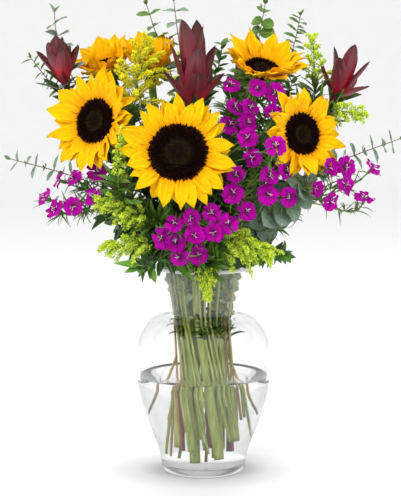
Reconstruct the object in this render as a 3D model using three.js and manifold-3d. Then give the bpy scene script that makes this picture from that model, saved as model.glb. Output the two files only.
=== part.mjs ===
// A bunch of cut sunflowers, leucadendron, dianthus, solidago and eucalyptus in a clear glass urn vase.
// Millimetres, +Z up. The origin is the centre of the vase's flat underside; the bunch faces -Y.

import * as THREE from 'three';
import Module from 'manifold-3d';

const wasm = await Module();
wasm.setup();

// ---- driving dimensions ------------------------------------------------------------------------

const GAP = 0.35; // clearance between neighbouring pieces
const FINEST_DETAIL = 0.1; // smaller edges are smoothed away where pieces are joined
const CORNER_GRID = 1000; // corners nearer than 1/1000 mm count as one
const HAIR = 0.004; // the smallest shift that is tried where joined pieces come out pinched
const GLASS_WALL = 3.0;
const GLASS_BASE = 8.5; // thickness of the glass floor
const GLASS_SIDES = 18; // flats round the vase and the water
const VASE_HEIGHT = 228;
const UNDERSIDE_RADIUS = 40; // flat ring that the vase stands on
// Outer outline of the glass, as radius and height: bulb from foot to shoulder, then neck to rim.
const BULB_OUTLINE = [
  [46.1, 8], [50.6, 28], [64.4, 65], [73.2, 104], [72.4, 143], [57, 168], [40, 176.5],
];
const NECK_OUTLINE = [[38.8, 181], [42.4, 195], [53.5, VASE_HEIGHT]];
const BULB_STEPS = 6;
const NECK_STEPS = 3;
const WATER_LEVEL = 106;
const FLOOR_CLEARANCE = 3.5; // from the glass floor to the lowest stem ends

const NECK_HEIGHT = 174; // narrowest level, where the stems are packed side by side
const NECK_LIMIT = 33.6; // radius that the packed stems stay within
const RIM_HEIGHT = 238; // level just over the rim, where the stems part
const RIM_SPREAD = 1.34; // how much wider the bundle is at the rim than at the neck
const FOOT_SPREAD = 1.2; // the same in the middle of the foot
const FOOT_FLARE = 0.2; // how much more than that the outermost stems spread
const FOOT_TWIST = 0.95; // radians that the bundle turns between the neck and the foot
const FOOT_RISE = 18; // how much higher the outermost stems end
const FOOT_STEPS = 5; // the stems are cut to this many lengths
const THICK_FOOT_STEP = 5; // between one length of a thick stem and the next
const THIN_FOOT_STEP = 13; // the same for thin stems, some of which end high up in the water
const STEM_AIR = 1.1; // air between packed stems
const THICK_STEPS = 4; // straight lengths in the free part of a thick stem
const THIN_STEPS = 3;
const CURVE_REACH = 0.36; // how far a stem runs on in its own direction, as a share of its free part
const SUNFLOWER_STEM = 4.7; // radii of the stems
const LEUCADENDRON_STEM = 2.6;
const DIANTHUS_STEM = 1.9;
const THIN_STEM = 1.7;

const PETAL_THICKNESS = 1.2;
const LEAF_THICKNESS = 1.1;
const GOLDEN_TURN = Math.PI * (3 - Math.sqrt(5));

// ---- colours and finishes ----------------------------------------------------------------------

const FINISHES = {
  glass: { color: 0xdfe6e4, roughness: 0.05, metalness: 0 },
  water: { color: 0xc9d6cf, roughness: 0.04, metalness: 0 },
  petal: { color: 0xf7ab0c, roughness: 0.55, metalness: 0 },
  disc: { color: 0x2a1a12, roughness: 0.9, metalness: 0 },
  stem: { color: 0x6f8f3a, roughness: 0.6, metalness: 0 },
  bract: { color: 0x6b1420, roughness: 0.45, metalness: 0 },
  dianthus: { color: 0xa9168f, roughness: 0.6, metalness: 0 },
  solidago: { color: 0xb7c23a, roughness: 0.8, metalness: 0 },
  eucalyptus: { color: 0x7d9a80, roughness: 0.6, metalness: 0 },
  foliage: { color: 0x3f6b2c, roughness: 0.55, metalness: 0 },
};

// ---- the plants --------------------------------------------------------------------------------
// "turn" and "lift" are degrees: which way a head faces, from the front towards +X, and how far up.

const SUNFLOWERS = [
  { name: 'centre', at: [-26, -105, 356], turn: 0, lift: 20, disc: 28, reach: 58, petals: 12, cup: 6 },
  { name: 'left', at: [-113, -54, 386], turn: -35, lift: 14, disc: 22, reach: 54, petals: 11, cup: 16 },
  { name: 'right', at: [102, -64, 373], turn: 34, lift: 10, disc: 20, reach: 48, petals: 10, cup: 16 },
  { name: 'top_right', at: [62, -20, 440], turn: 18, lift: 58, disc: 18, reach: 50, petals: 9, cup: 32 },
  { name: 'top_left', at: [-106, 28, 442], turn: -30, lift: 62, disc: 16, reach: 43, petals: 7, cup: 36 },
  { name: 'top_middle', at: [-56, 6, 446], turn: 0, lift: 66, disc: 15, reach: 45, petals: 7, cup: 50 },
];

const LEUCADENDRONS = [
  { name: 'left', at: [-150, -8, 431], tip: [-156, -8, 475], bracts: [3, 4], length: 44, spread: 18 },
  { name: 'centre', at: [-10, -46, 404], tip: [-13, -48, 496], bracts: [3, 6], length: 86, spread: 36 },
  { name: 'right', at: [143, -6, 414], tip: [163, -12, 463], bracts: [3, 5], length: 54, spread: 30 },
  { name: 'back', at: [40, 88, 408], tip: [52, 112, 470], bracts: [3, 4], length: 58, spread: 24 },
];

// Each spray is a list of floret centres.
const DIANTHUS = [
  {
    name: 'left_low',
    florets: [[-137, -60, 327], [-112, -58, 334], [-88, -70, 321], [-116, -76, 309], [-136, -70, 298],
      [-157, -56, 294], [-153, -48, 324], [-169, -46, 306]],
  },
  {
    name: 'upper',
    florets: [[29, -50, 424], [56, -66, 421], [74, -64, 416], [48, -70, 401], [32, -68, 401],
      [71, -76, 394], [27, -74, 383], [46, -80, 386], [45, -88, 370]],
  },
  {
    name: 'middle',
    florets: [[50, -92, 350], [33, -106, 333], [30, -106, 315], [67, -94, 331], [85, -84, 337],
      [66, -98, 313], [88, -86, 309], [44, -104, 296], [77, -101, 364]],
  },
  {
    name: 'low',
    florets: [[-13, -113, 290], [8, -110, 295], [-30, -112, 285], [-10, -116, 272], [10, -112, 275],
      [25, -108, 284], [-43, -102, 268], [-29, -106, 264], [-25, -102, 249], [-6, -96, 250]],
  },
  {
    name: 'right_low',
    florets: [[114, -80, 318], [130, -66, 338], [149, -54, 338], [132, -76, 304], [149, -64, 320],
      [170, -50, 306], [180, -40, 337]],
  },
  {
    name: 'back_left',
    florets: [[-96, 96, 372], [-78, 108, 356], [-104, 92, 348], [-60, 112, 374], [-84, 100, 390],
      [-62, 116, 346]],
  },
  {
    name: 'back_right',
    florets: [[92, 90, 352], [74, 104, 338], [104, 80, 332], [60, 112, 358], [84, 98, 372],
      [112, 74, 356]],
  },
];
const FLORET_RADIUS = 11;
const CALYX_LENGTH = 9;
const PEDICEL_RADIUS = 0.9;
const FLORET_TRIES = 30;
const PEDICEL_TRIES = 160;

// Plumes: from the base of the plume to its tip, with branchlets on all sides.
const SOLIDAGO = [
  { name: 'top_left', base: [-76, -42, 398], tip: [-62, -44, 464], branchlets: 9, length: 43 },
  { name: 'between', base: [-88, -86, 326], tip: [-82, -101, 382], branchlets: 4, length: 11 },
  { name: 'left_low', base: [-56, -66, 284], tip: [-106, -80, 304], branchlets: 6, length: 28 },
  { name: 'left_lowest', base: [-52, -64, 256], tip: [-102, -68, 256], branchlets: 5, length: 24 },
  { name: 'low', base: [15, -73, 264], tip: [67, -86, 251], branchlets: 7, length: 31 },
  { name: 'hanging', base: [2, -62, 238], tip: [4, -78, 202], branchlets: 4, length: 17 },
  { name: 'top_right', base: [120, -2, 424], tip: [118, 4, 474], branchlets: 5, length: 21 },
  { name: 'right', base: [133, -22, 398], tip: [170, -32, 392], branchlets: 5, length: 19 },
  { name: 'back', base: [-14, 92, 396], tip: [-20, 118, 452], branchlets: 6, length: 34 },
];

// Leafy stems, with leaves in pairs: what each stem heads away from at its tip, its tip, how many pairs
// and the length and width of a leaf. The greens are dark, with leaves from the rim on.
const LEAFY = [
  { name: 'eucalyptus_top_left', via: [-142, 2, 420], tip: [-161, 12, 501], pairs: 4, leaf: [20, 11] },
  { name: 'eucalyptus_far_left', via: [-110, -4, 318], tip: [-208, -8, 344], pairs: 4, leaf: [21, 10] },
  { name: 'eucalyptus_top_middle', via: [-50, 34, 400], tip: [-62, 26, 510], pairs: 3, leaf: [16, 9] },
  { name: 'eucalyptus_top', via: [-22, 12, 400], tip: [-32, 10, 513], pairs: 3, leaf: [16, 9] },
  { name: 'eucalyptus_round', via: [50, 30, 400], tip: [67, 24, 511], pairs: 4, leaf: [18, 14] },
  { name: 'twig_top_right', via: [90, 26, 400], tip: [105, 20, 498], pairs: 3, leaf: [14, 7] },
  { name: 'eucalyptus_far_right', via: [120, 10, 330], tip: [213, 8, 365], pairs: 4, leaf: [21, 11] },
  { name: 'twig_left', via: [-130, 6, 380], tip: [-185, -4, 452], pairs: 3, leaf: [15, 6] },
  { name: 'eucalyptus_low_right', via: [66, -52, 268], tip: [108, -70, 322], pairs: 4, leaf: [25, 20] },
  { name: 'eucalyptus_back', via: [-60, 80, 360], tip: [-110, 118, 440], pairs: 4, leaf: [22, 15] },
];
const LEAFY_BARE = 0.5; // share of the free stem with no leaves
const GREENS = [
  { name: 'foliage_left', via: [-52, -30, 254], tip: [-104, -42, 290], pairs: 3, leaf: [36, 12] },
  { name: 'foliage_front', via: [-20, -56, 244], tip: [-64, -84, 236], pairs: 3, leaf: [34, 11] },
  { name: 'foliage_right', via: [46, -40, 250], tip: [84, -56, 246], pairs: 3, leaf: [34, 11] },
  { name: 'foliage_back', via: [0, 56, 250], tip: [-34, 104, 310], pairs: 3, leaf: [38, 14] },
  { name: 'foliage_back_right', via: [48, 44, 252], tip: [102, 82, 302], pairs: 3, leaf: [38, 14] },
  { name: 'foliage_centre_left', via: [-50, -30, 290], tip: [-74, -44, 356], pairs: 3, leaf: [38, 15] },
  { name: 'foliage_centre_right', via: [30, -16, 290], tip: [54, -38, 350], pairs: 3, leaf: [38, 15] },
];

// ---- small maths -------------------------------------------------------------------------------

const vec = (x, y, z) => new THREE.Vector3(x, y, z);
const radians = THREE.MathUtils.degToRad;
const mix = THREE.MathUtils.lerp;

/** A repeatable run of random numbers from 0 to 1. */
function seededRandom(seed) {
  let state = seed >>> 0;
  return () => {
    state = (state + 0x6d2b79f5) >>> 0;
    let word = Math.imul(state ^ (state >>> 15), 1 | state);
    word = (word + Math.imul(word ^ (word >>> 7), 61 | word)) ^ word;
    return ((word ^ (word >>> 14)) >>> 0) / 2 ** 32;
  };
}

/** A random number between -size and +size. */
const jitter = (random, size) => (random() * 2 - 1) * size;

/** 0, 1, -1, 2, -2 ...: the tries that a piece makes on either side of its place. */
const swing = (turn) => (turn % 2 ? 1 : -1) * Math.ceil(turn / 2);

/** Three axes at right angles: the one given, then the viewer's right and up when it is looked at. */
function axesFor(along) {
  const axis = along.clone().normalize();
  const helper = Math.abs(axis.z) > 0.98 ? vec(0, 1, 0) : vec(0, 0, 1);
  const right = helper.clone().cross(axis).normalize();
  const up = axis.clone().cross(right);
  return { axis, right, up };
}

/** The direction that a head faces. */
function facing(turn, lift) {
  const a = radians(turn);
  const b = radians(lift);
  return vec(Math.sin(a) * Math.cos(b), -Math.cos(a) * Math.cos(b), Math.sin(b));
}

/** The direction that leaves "out" by an angle towards "axis". */
function raised(out, axis, slope) {
  return out.clone().multiplyScalar(Math.cos(slope)).addScaledVector(axis, Math.sin(slope));
}

/** A point at an angle and a radius round an axis, and a height along it. */
function around({ axis, right, up }, centre, angle, radius, height = 0) {
  return centre.clone()
    .addScaledVector(right, Math.cos(angle) * radius)
    .addScaledVector(up, Math.sin(angle) * radius)
    .addScaledVector(axis, height);
}

// ---- solids ------------------------------------------------------------------------------------

/** A closed solid from its corner points and its triangles. */
function solidFrom(points, faces) {
  const vertProperties = new Float32Array(points.flatMap((p) => [p.x, p.y, p.z]));
  const triVerts = new Uint32Array(faces.flat());
  return new wasm.Manifold(new wasm.Mesh({ numProp: 3, vertProperties, triVerts }));
}

/**
 * Skins a row of rings, which turn anticlockwise seen from the end. A ring of one point closes an
 * end, a wider end gets a fan, and a ring may have a whole multiple of the corners of the one before.
 * A closed loft joins its last ring to its first.
 */
function loft(rings, closed = false) {
  const starts = [];
  let count = 0;
  for (const ring of rings) {
    starts.push(count);
    count += ring.length;
  }
  const faces = [];
  const spans = closed ? rings.length : rings.length - 1;
  for (let i = 0; i < spans; i += 1) {
    const next = (i + 1) % rings.length;
    const few = rings[i].length;
    const many = rings[next].length;
    if (many === 1) {
      for (let j = 0; j < few; j += 1) {
        faces.push([starts[i] + j, starts[i] + ((j + 1) % few), starts[next]]);
      }
      continue;
    }
    const times = many / few;
    const shift = Math.floor(times / 2);
    for (let j = 0; j < few; j += 1) {
      const a = starts[i] + j;
      const b = starts[i] + ((j + 1) % few);
      for (let k = j * times - shift; k < (j + 1) * times - shift; k += 1) {
        faces.push([a, starts[next] + ((k + 1 + many) % many), starts[next] + ((k + many) % many)]);
      }
      const last = starts[next] + (((j + 1) * times - shift + many) % many);
      if (few > 1) {
        faces.push([a, b, last]);
      }
    }
  }
  if (!closed) {
    const first = rings[0].length;
    const final = rings.length - 1;
    for (let j = 1; j < first - 1; j += 1) {
      faces.push([0, j + 1, j]);
    }
    for (let j = 1; j < rings[final].length - 1; j += 1) {
      faces.push([starts[final], starts[final] + j, starts[final] + j + 1]);
    }
  }
  return solidFrom(rings.flat(), faces);
}

/** The rings of a tube of few sides through the points, with a radius at each. */
function tubeRings(points, radii, sides) {
  const rings = [];
  let side = null;
  points.forEach((point, i) => {
    const before = points[Math.max(i - 1, 0)];
    const after = points[Math.min(i + 1, points.length - 1)];
    const along = after.clone().sub(before).normalize();
    side = side ? side.addScaledVector(along, -side.dot(along)).normalize() : axesFor(along).right;
    const frame = { axis: along, right: side, up: along.clone().cross(side) };
    const ring = [];
    for (let j = 0; j < sides; j += 1) {
      ring.push(around(frame, point, (j / sides) * 2 * Math.PI, radii[i]));
    }
    rings.push(ring);
    side = side.clone();
  });
  return rings;
}

const tube = (points, radii, sides) => loft(tubeRings(points, radii, sides));

/**
 * A leaf or petal: flat behind, with a raised midrib in front, and pointed at both ends. "along" is
 * the way it leaves its root, "face" the side of the midrib, "bend" how far it curves back.
 */
function blade({ root, along, face, length, width, shape, thickness, bend = 0 }) {
  const across = face.clone().cross(along).normalize();
  const steps = shape.length + 1;
  const rings = [[root.clone()]];
  const point = root.clone();
  const heading = along.clone().normalize();
  for (let i = 0; i < steps; i += 1) {
    point.addScaledVector(heading, length / steps);
    heading.applyAxisAngle(across, bend / steps);
    const normal = heading.clone().cross(across);
    if (i === shape.length) {
      rings.push([point.clone()]);
      break;
    }
    const half = (width * shape[i]) / 2;
    rings.push([
      point.clone().addScaledVector(across, half),
      point.clone().addScaledVector(normal, thickness),
      point.clone().addScaledVector(across, -half),
    ]);
  }
  return loft(rings);
}

/** Solids of revolution about Z, from an outline of radius and height that starts and ends on it. */
function turned(outline) {
  const rings = outline.map(([radius, height]) => {
    if (radius === 0) return [vec(0, 0, height)];
    const ring = [];
    for (let j = 0; j < GLASS_SIDES; j += 1) {
      const angle = (j / GLASS_SIDES) * 2 * Math.PI;
      ring.push(vec(Math.cos(angle) * radius, Math.sin(angle) * radius, height));
    }
    return ring;
  });
  return loft(rings);
}

/** True where, once corners on one spot count as one, some edge has more or fewer than two faces. */
function pinched(solid) {
  const { vertProperties, triVerts } = solid.getMesh();
  return [0, 0.5].some((offset) => {
    const spots = [];
    for (let i = 0; i < vertProperties.length; i += 3) {
      const corner = Array.from(vertProperties.slice(i, i + 3));
      spots.push(corner.map((value) => Math.round(value * CORNER_GRID + offset)).join(' '));
    }
    const uses = new Map();
    for (let i = 0; i < triVerts.length; i += 3) {
      for (let k = 0; k < 3; k += 1) {
        const edge = [spots[triVerts[i + k]], spots[triVerts[i + ((k + 1) % 3)]]].sort().join(',');
        uses.set(edge, (uses.get(edge) ?? 0) + 1);
      }
    }
    return [...uses.values()].some((count) => count !== 2);
  });
}

/**
 * The biggest single body of some joined solids, without scraps or sealed hollows. Where it comes out
 * pinched, the pieces are joined again a hair's breadth aside.
 */
function fuse(solids) {
  const random = seededRandom(solids.length);
  for (let attempt = 0; attempt < 40; attempt += 1) {
    const aside = () => jitter(random, Math.min(attempt, 8) * HAIR);
    const moved = solids.map((solid) => solid.translate([aside(), aside(), aside()]));
    const bodies = wasm.Manifold.union(moved).simplify(FINEST_DETAIL).decompose();
    const biggest = bodies.reduce((best, body) => (body.volume() > best.volume() ? body : best));
    if (!pinched(biggest)) return biggest;
  }
  throw new Error('a node stays pinched');
}

// ---- keeping pieces clear of each other --------------------------------------------------------

const placed = []; // every solid set down so far, with the node it belongs to

function boxesApart(a, b) {
  return [0, 1, 2].some((k) => a.min[k] > b.max[k] + GAP || b.min[k] > a.max[k] + GAP);
}

/** True where a solid keeps its gap to all that belongs to other nodes. */
function isClear(owner, solid) {
  const box = solid.boundingBox();
  return placed.every((other) => other.owner === owner
    || boxesApart(box, other.box)
    || solid.minGap(other.solid, 2 * GAP) > GAP);
}

/** Sets a solid down for its node. */
function settle(owner, solid) {
  placed.push({ owner, solid, box: solid.boundingBox() });
  return solid;
}

/** Makes a piece up to "tries" times, a little changed each time, until it is clear. */
function fit(owner, tries, make) {
  for (let turn = 0; turn < tries; turn += 1) {
    const solid = make(turn);
    if (isClear(owner, solid)) return settle(owner, solid);
  }
  return null;
}

// ---- vase --------------------------------------------------------------------------------------

const plane = ([radius, height]) => new THREE.Vector2(radius, height);
const glassCurves = [
  { curve: new THREE.SplineCurve(BULB_OUTLINE.map(plane)), steps: BULB_STEPS },
  { curve: new THREE.SplineCurve(NECK_OUTLINE.map(plane)), steps: NECK_STEPS },
];

/** Points of the glass outline, moved inwards by "depth" square to the surface. */
function glassOutline(depth) {
  return glassCurves.flatMap(({ curve, steps }) => {
    const points = [];
    for (let i = 0; i <= steps; i += 1) {
      const point = curve.getPoint(i / steps);
      const tangent = curve.getTangent(i / steps);
      points.push([point.x - tangent.y * depth, point.y + tangent.x * depth]);
    }
    return points;
  });
}

/** Radius of an outline at a height. */
function radiusAt(outline, height) {
  const i = outline.findIndex((point) => point[1] > height);
  const [r0, z0] = outline[i - 1];
  const [r1, z1] = outline[i];
  return mix(r0, r1, (height - z0) / (z1 - z0));
}

function makeVase() {
  const outer = glassOutline(0);
  const inner = glassOutline(GLASS_WALL).filter((point) => point[1] > GLASS_BASE + 1);
  const floor = [inner[0][0] - 6, GLASS_BASE];
  return turned([[0, 0], [UNDERSIDE_RADIUS, 0], ...outer, ...inner.reverse(), floor, [0, GLASS_BASE]]);
}

function makeWater(pockets) {
  const wall = glassOutline(GLASS_WALL + 0.35);
  const sides = wall.filter((point) => point[1] > GLASS_BASE + 1 && point[1] < WATER_LEVEL - 4);
  const floor = [sides[0][0] - 6, GLASS_BASE + 0.35];
  const top = [radiusAt(wall, WATER_LEVEL), WATER_LEVEL];
  const body = turned([[0, floor[1]], floor, ...sides, top, [0, WATER_LEVEL]]);
  return body.subtract(wasm.Manifold.union(pockets));
}

// ---- sunflower heads ---------------------------------------------------------------------------

const DISC_SIDES = 12;
// Rings of the seed disc from its edge in: share of the radius and height of the dome.
const DISC_RINGS = [[1, 0.4], [0.8, 2.6], [0.55, 3.4], [0.3, 1.2]];
const SEED_RELIEF = 0.7;
const DISC_BACK = -3.6;
const RING_SIDES = 12;
const PETAL_SHAPE = [1, 0.88];
const SEPALS = 6;
const SEPAL_WIDTH = 9;

/** The dark disc: spiral rows of raised and sunken seeds on a low dome with a dished middle. */
function seedDisc(frame, centre, radius) {
  const ring = (share, height, relief, shift) => {
    const points = [];
    for (let j = 0; j < DISC_SIDES; j += 1) {
      const angle = ((j + shift) / DISC_SIDES) * 2 * Math.PI;
      points.push(around(frame, centre, angle, share * radius, height + (j % 2 ? relief : -relief)));
    }
    return points;
  };
  const relief = (i) => (i ? SEED_RELIEF : 0);
  const rows = DISC_RINGS.map(([share, height], i) => ring(share, height, relief(i), i * -0.5));
  const back = [around(frame, centre, 0, 0, DISC_BACK)];
  return loft([back, ring(1, DISC_BACK, 0, 0), ...rows, [around(frame, centre, 0, 0, 0.2)]]);
}

/** The ring that the petals grow from, round the disc. */
function petalRing(frame, centre, radius) {
  const rings = [];
  for (let i = 0; i < RING_SIDES; i += 1) {
    const angle = (i / RING_SIDES) * 2 * Math.PI;
    rings.push([
      around(frame, centre, angle, radius + 1, 1.2),
      around(frame, centre, angle, radius + 8, -1.6),
      around(frame, centre, angle, radius + 1, DISC_BACK),
    ]);
  }
  return loft(rings, true);
}

/** Two layers of petals, the front layer standing between and before the back one. */
function petals(owner, frame, centre, flower) {
  const random = seededRandom(flower.disc * 97 + flower.petals);
  const rootRadius = flower.disc + 3;
  const pieces = [];
  for (let layer = 0; layer < 2; layer += 1) {
    for (let i = 0; i < flower.petals; i += 1) {
      const angle = ((i + layer / 2) / flower.petals) * 2 * Math.PI + jitter(random, 0.04);
      const tilt = radians(flower.cup + layer * 9 + jitter(random, 4));
      const length = (flower.reach - rootRadius) * (1.02 + jitter(random, 0.07)) + layer * -1.5;
      const bend = radians(6 + jitter(random, 10));
      const width = ((flower.reach * 2 * Math.PI) / flower.petals) * 0.57 + jitter(random, 0.8);
      const out = around(frame, vec(0, 0, 0), angle, 1);
      const root = around(frame, centre, angle, rootRadius, -1.8 + layer * 1.6);
      const petal = fit(owner, 7, (turn) => {
        const slope = tilt + radians(5) * swing(turn);
        const along = raised(out, frame.axis, slope);
        const face = raised(frame.axis, out, -slope);
        return blade({
          root, along, face, length, width, bend, shape: PETAL_SHAPE, thickness: PETAL_THICKNESS,
        });
      });
      if (petal) pieces.push(petal);
    }
  }
  return pieces;
}

/** The green cup behind the head, with pointed sepals round it. */
function calyx(owner, frame, centre, flower, stemRadius) {
  const edge = flower.disc + 1.5;
  const sides = 8;
  const depth = flower.disc * 0.75;
  const ring = (radius, height) => {
    const points = [];
    for (let j = 0; j < sides; j += 1) {
      points.push(around(frame, centre, (j / sides) * 2 * Math.PI, radius, height));
    }
    return points;
  };
  const back = DISC_BACK - 0.4;
  const cup = loft([
    ring(stemRadius, back - depth),
    ring(edge * 0.62, back - depth * 0.5),
    ring(edge, back),
  ]);
  const pieces = [settle(owner, cup)];
  for (let i = 0; i < SEPALS; i += 1) {
    const angle = ((i + 0.37) / SEPALS) * 2 * Math.PI;
    const out = around(frame, vec(0, 0, 0), angle, 1);
    const root = around(frame, centre, angle, edge - 5, back - 2.4);
    const sepal = fit(owner, 5, (turn) => {
      const slope = radians(-12 - 9 * turn);
      const along = raised(out, frame.axis, slope);
      const face = frame.axis.clone().negate();
      const length = flower.disc * 0.9 + 6;
      return blade({
        root, along, face, length, width: SEPAL_WIDTH, shape: [0.9], thickness: PETAL_THICKNESS, bend: 0.1,
      });
    });
    if (sepal) pieces.push(sepal);
  }
  return pieces;
}

// ---- leucadendron heads ------------------------------------------------------------------------

const BRACT_SHAPE = [0.9, 0.88];
const CORE_SIDES = 6;

/** Two whorls of tapered bracts: upright ones inside, spread ones outside. */
function bracts(owner, head) {
  const base = vec(...head.at);
  const frame = axesFor(vec(...head.tip).sub(base));
  const random = seededRandom(head.length);
  const ring = (radius, height) => {
    const points = [];
    for (let j = 0; j < CORE_SIDES; j += 1) {
      points.push(around(frame, base, (j / CORE_SIDES) * 2 * Math.PI, radius, height));
    }
    return points;
  };
  const core = loft([ring(2.8, -9), ring(6.5, 1), [around(frame, base, 0, 0, head.length * 0.3)]]);
  const pieces = [settle(owner, core)];
  const width = 6 + head.length * 0.13;
  head.bracts.forEach((count, whorl) => {
    for (let i = 0; i < count; i += 1) {
      const angle = ((i + whorl / 2) / count) * 2 * Math.PI + jitter(random, 0.1);
      const spread = radians(whorl ? head.spread : 5) + jitter(random, 0.05);
      const length = head.length * (1 - whorl * 0.22 - random() * 0.12);
      const out = around(frame, vec(0, 0, 0), angle, 1);
      const root = around(frame, base, angle, 2.5, -whorl * 3.5);
      const bract = fit(owner, 7, (turn) => {
        const lean = Math.max(spread - radians(4) * turn, 0.02);
        const along = raised(frame.axis, out, lean);
        const face = raised(out, frame.axis, -lean).negate();
        return blade({
          root, along, face, length, width, shape: BRACT_SHAPE, thickness: PETAL_THICKNESS,
          bend: whorl * 0.25 - 0.1,
        });
      });
      if (bract) pieces.push(bract);
    }
  });
  return pieces;
}

// ---- dianthus florets --------------------------------------------------------------------------

const FLORET_LOBES = 5;
// Corner points of one lobe: angle in shares of the lobe and radius in shares of the floret.
const LOBE_CORNERS = [[0, 0.42], [0.17, 0.96], [0.83, 1]];

/** The way a floret faces: outwards from the heart of the bunch and a little up. */
function floretFacing(centre, random) {
  const way = vec(centre.x * 0.35, centre.y, 30);
  return way.add(vec(jitter(random, 22), jitter(random, 12), jitter(random, 25))).normalize();
}

/** A flat five-lobed floret on its calyx; "stalk" holds the rings of the pedicel that it grows from. */
function floret(centre, face, stalk) {
  const frame = axesFor(face);
  const corner = stalk[stalk.length - 1][0].clone().sub(centre);
  const spin = Math.atan2(corner.dot(frame.up), corner.dot(frame.right));
  const rim = [];
  for (let lobe = 0; lobe < FLORET_LOBES; lobe += 1) {
    for (const [share, radius] of LOBE_CORNERS) {
      const angle = spin + ((lobe + share) / FLORET_LOBES) * 2 * Math.PI;
      rim.push(around(frame, centre, angle, radius * FLORET_RADIUS, radius));
    }
  }
  return loft([...stalk, rim, [around(frame, centre, 0, 0, 0.4)]]);
}

/** The last rings of a pedicel: the calyx, from its foot to the floret. */
function calyxRings(centre, face, way) {
  const foot = centre.clone().addScaledVector(face, -CALYX_LENGTH);
  const top = centre.clone().addScaledVector(face, -1.2);
  const radii = [...way.map(() => PEDICEL_RADIUS), PEDICEL_RADIUS, 1.9];
  return tubeRings([...way, foot, top], radii, 3);
}

// ---- stems -------------------------------------------------------------------------------------

const PACKING_PASSES = 900;
const STEM_TRIES = 240;

/** Every stem that goes down through the neck: its node, where its head is, and which way it arrives. */
const stems = [];

/**
 * Packs the stems side by side in the neck. Each starts on the side of its own head, the steeper ones
 * nearer the middle, and they push apart until all have air between them.
 */
function packNeck() {
  for (const stem of stems) {
    const rise = Math.max(stem.end.z - RIM_HEIGHT, 14);
    stem.lean = new THREE.Vector2(stem.end.x, stem.end.y).divideScalar(rise);
  }
  const ranked = [...stems].sort((a, b) => a.lean.length() - b.lean.length());
  ranked.forEach((stem, rank) => {
    const radius = NECK_LIMIT * Math.sqrt((rank + 0.5) / ranked.length);
    stem.neck = stem.lean.clone().setLength(radius);
  });
  const between = new THREE.Vector2();
  for (let pass = 0; pass < PACKING_PASSES; pass += 1) {
    for (let i = 0; i < stems.length; i += 1) {
      for (let j = i + 1; j < stems.length; j += 1) {
        const apart = stems[i].radius + stems[j].radius + STEM_AIR;
        between.subVectors(stems[j].neck, stems[i].neck);
        const short = apart - between.length();
        if (short > 0) {
          between.setLength(short * 0.5);
          stems[i].neck.sub(between);
          stems[j].neck.add(between);
        }
      }
    }
    for (const stem of stems) {
      stem.neck.clampLength(0, NECK_LIMIT - stem.radius);
    }
  }
}

/** How far out a stem stands in the neck: 0 in the middle, 1 at the edge. */
const outwards = (stem) => stem.neck.length() / NECK_LIMIT;

/** A point of the packed part of a stem: the whole bundle spreads and turns, so no two stems cross. */
function bundlePoint(stem, height) {
  if (height >= NECK_HEIGHT) {
    const share = (height - NECK_HEIGHT) / (RIM_HEIGHT - NECK_HEIGHT);
    const spread = mix(1, RIM_SPREAD, share);
    return vec(stem.neck.x * spread, stem.neck.y * spread, height);
  }
  const spread = FOOT_SPREAD + FOOT_FLARE * outwards(stem) ** 2;
  const foot = stem.neck.clone().rotateAround(new THREE.Vector2(), FOOT_TWIST).multiplyScalar(spread);
  const share = (NECK_HEIGHT - height) / (NECK_HEIGHT - GLASS_BASE);
  return vec(mix(stem.neck.x, foot.x, share), mix(stem.neck.y, foot.y, share), height);
}

/** The points of a stem from its foot to its head, with the free part bent aside by "nudge". */
function stemPoints(stem, nudge) {
  const neck = bundlePoint(stem, NECK_HEIGHT);
  const rim = bundlePoint(stem, RIM_HEIGHT);
  const reach = rim.distanceTo(stem.end) * CURVE_REACH;
  const leave = rim.clone().sub(neck).normalize();
  const first = rim.clone().addScaledVector(leave, reach).add(nudge);
  const second = stem.end.clone().addScaledVector(stem.arrive, -reach).add(nudge);
  const free = new THREE.CubicBezierCurve3(rim, first, second, stem.end)
    .getPoints(stem.sides > 3 ? THICK_STEPS : THIN_STEPS);
  return [bundlePoint(stem, stem.foot), neck, ...free, ...stem.beyond];
}

/** Grows the stem of a node, bending its free part until it passes everything set down so far. */
function growStem(stem) {
  const random = seededRandom(Math.round(stem.end.x * 31 + stem.end.z * 7));
  const make = (turn) => {
    const size = Math.min(turn * 0.5, 26);
    const nudge = vec(jitter(random, size), jitter(random, size), jitter(random, size * 0.5));
    stem.points = stemPoints(stem, nudge);
    const taper = (i) => stem.radius * mix(1, stem.taper, Math.max(i - 2, 0) / (stem.points.length - 3));
    return tube(stem.points, stem.points.map((_, i) => taper(i)), stem.sides);
  };
  const solid = fit(stem.owner, STEM_TRIES, make);
  if (!solid) throw new Error(`the stem of ${stem.owner} finds no way`);
  return solid;
}

/** The hole that a stem needs in the water. */
function pocket(stem) {
  const wider = stem.radius + (GAP + 0.12) / Math.cos(Math.PI / stem.sides);
  const foot = bundlePoint(stem, stem.foot - 0.5);
  const share = (WATER_LEVEL + 3 - stem.foot) / (NECK_HEIGHT - stem.foot);
  const top = stem.points[0].clone().lerp(stem.points[1], share);
  return tube([foot, top], [wider, wider], stem.sides);
}

// ---- solidago plumes ---------------------------------------------------------------------------

const BRANCHLET_KNOBS = [4, 2.9, 3.5]; // radii along a branchlet
const BRANCHLET_DROOP = 0.5; // radians

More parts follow.
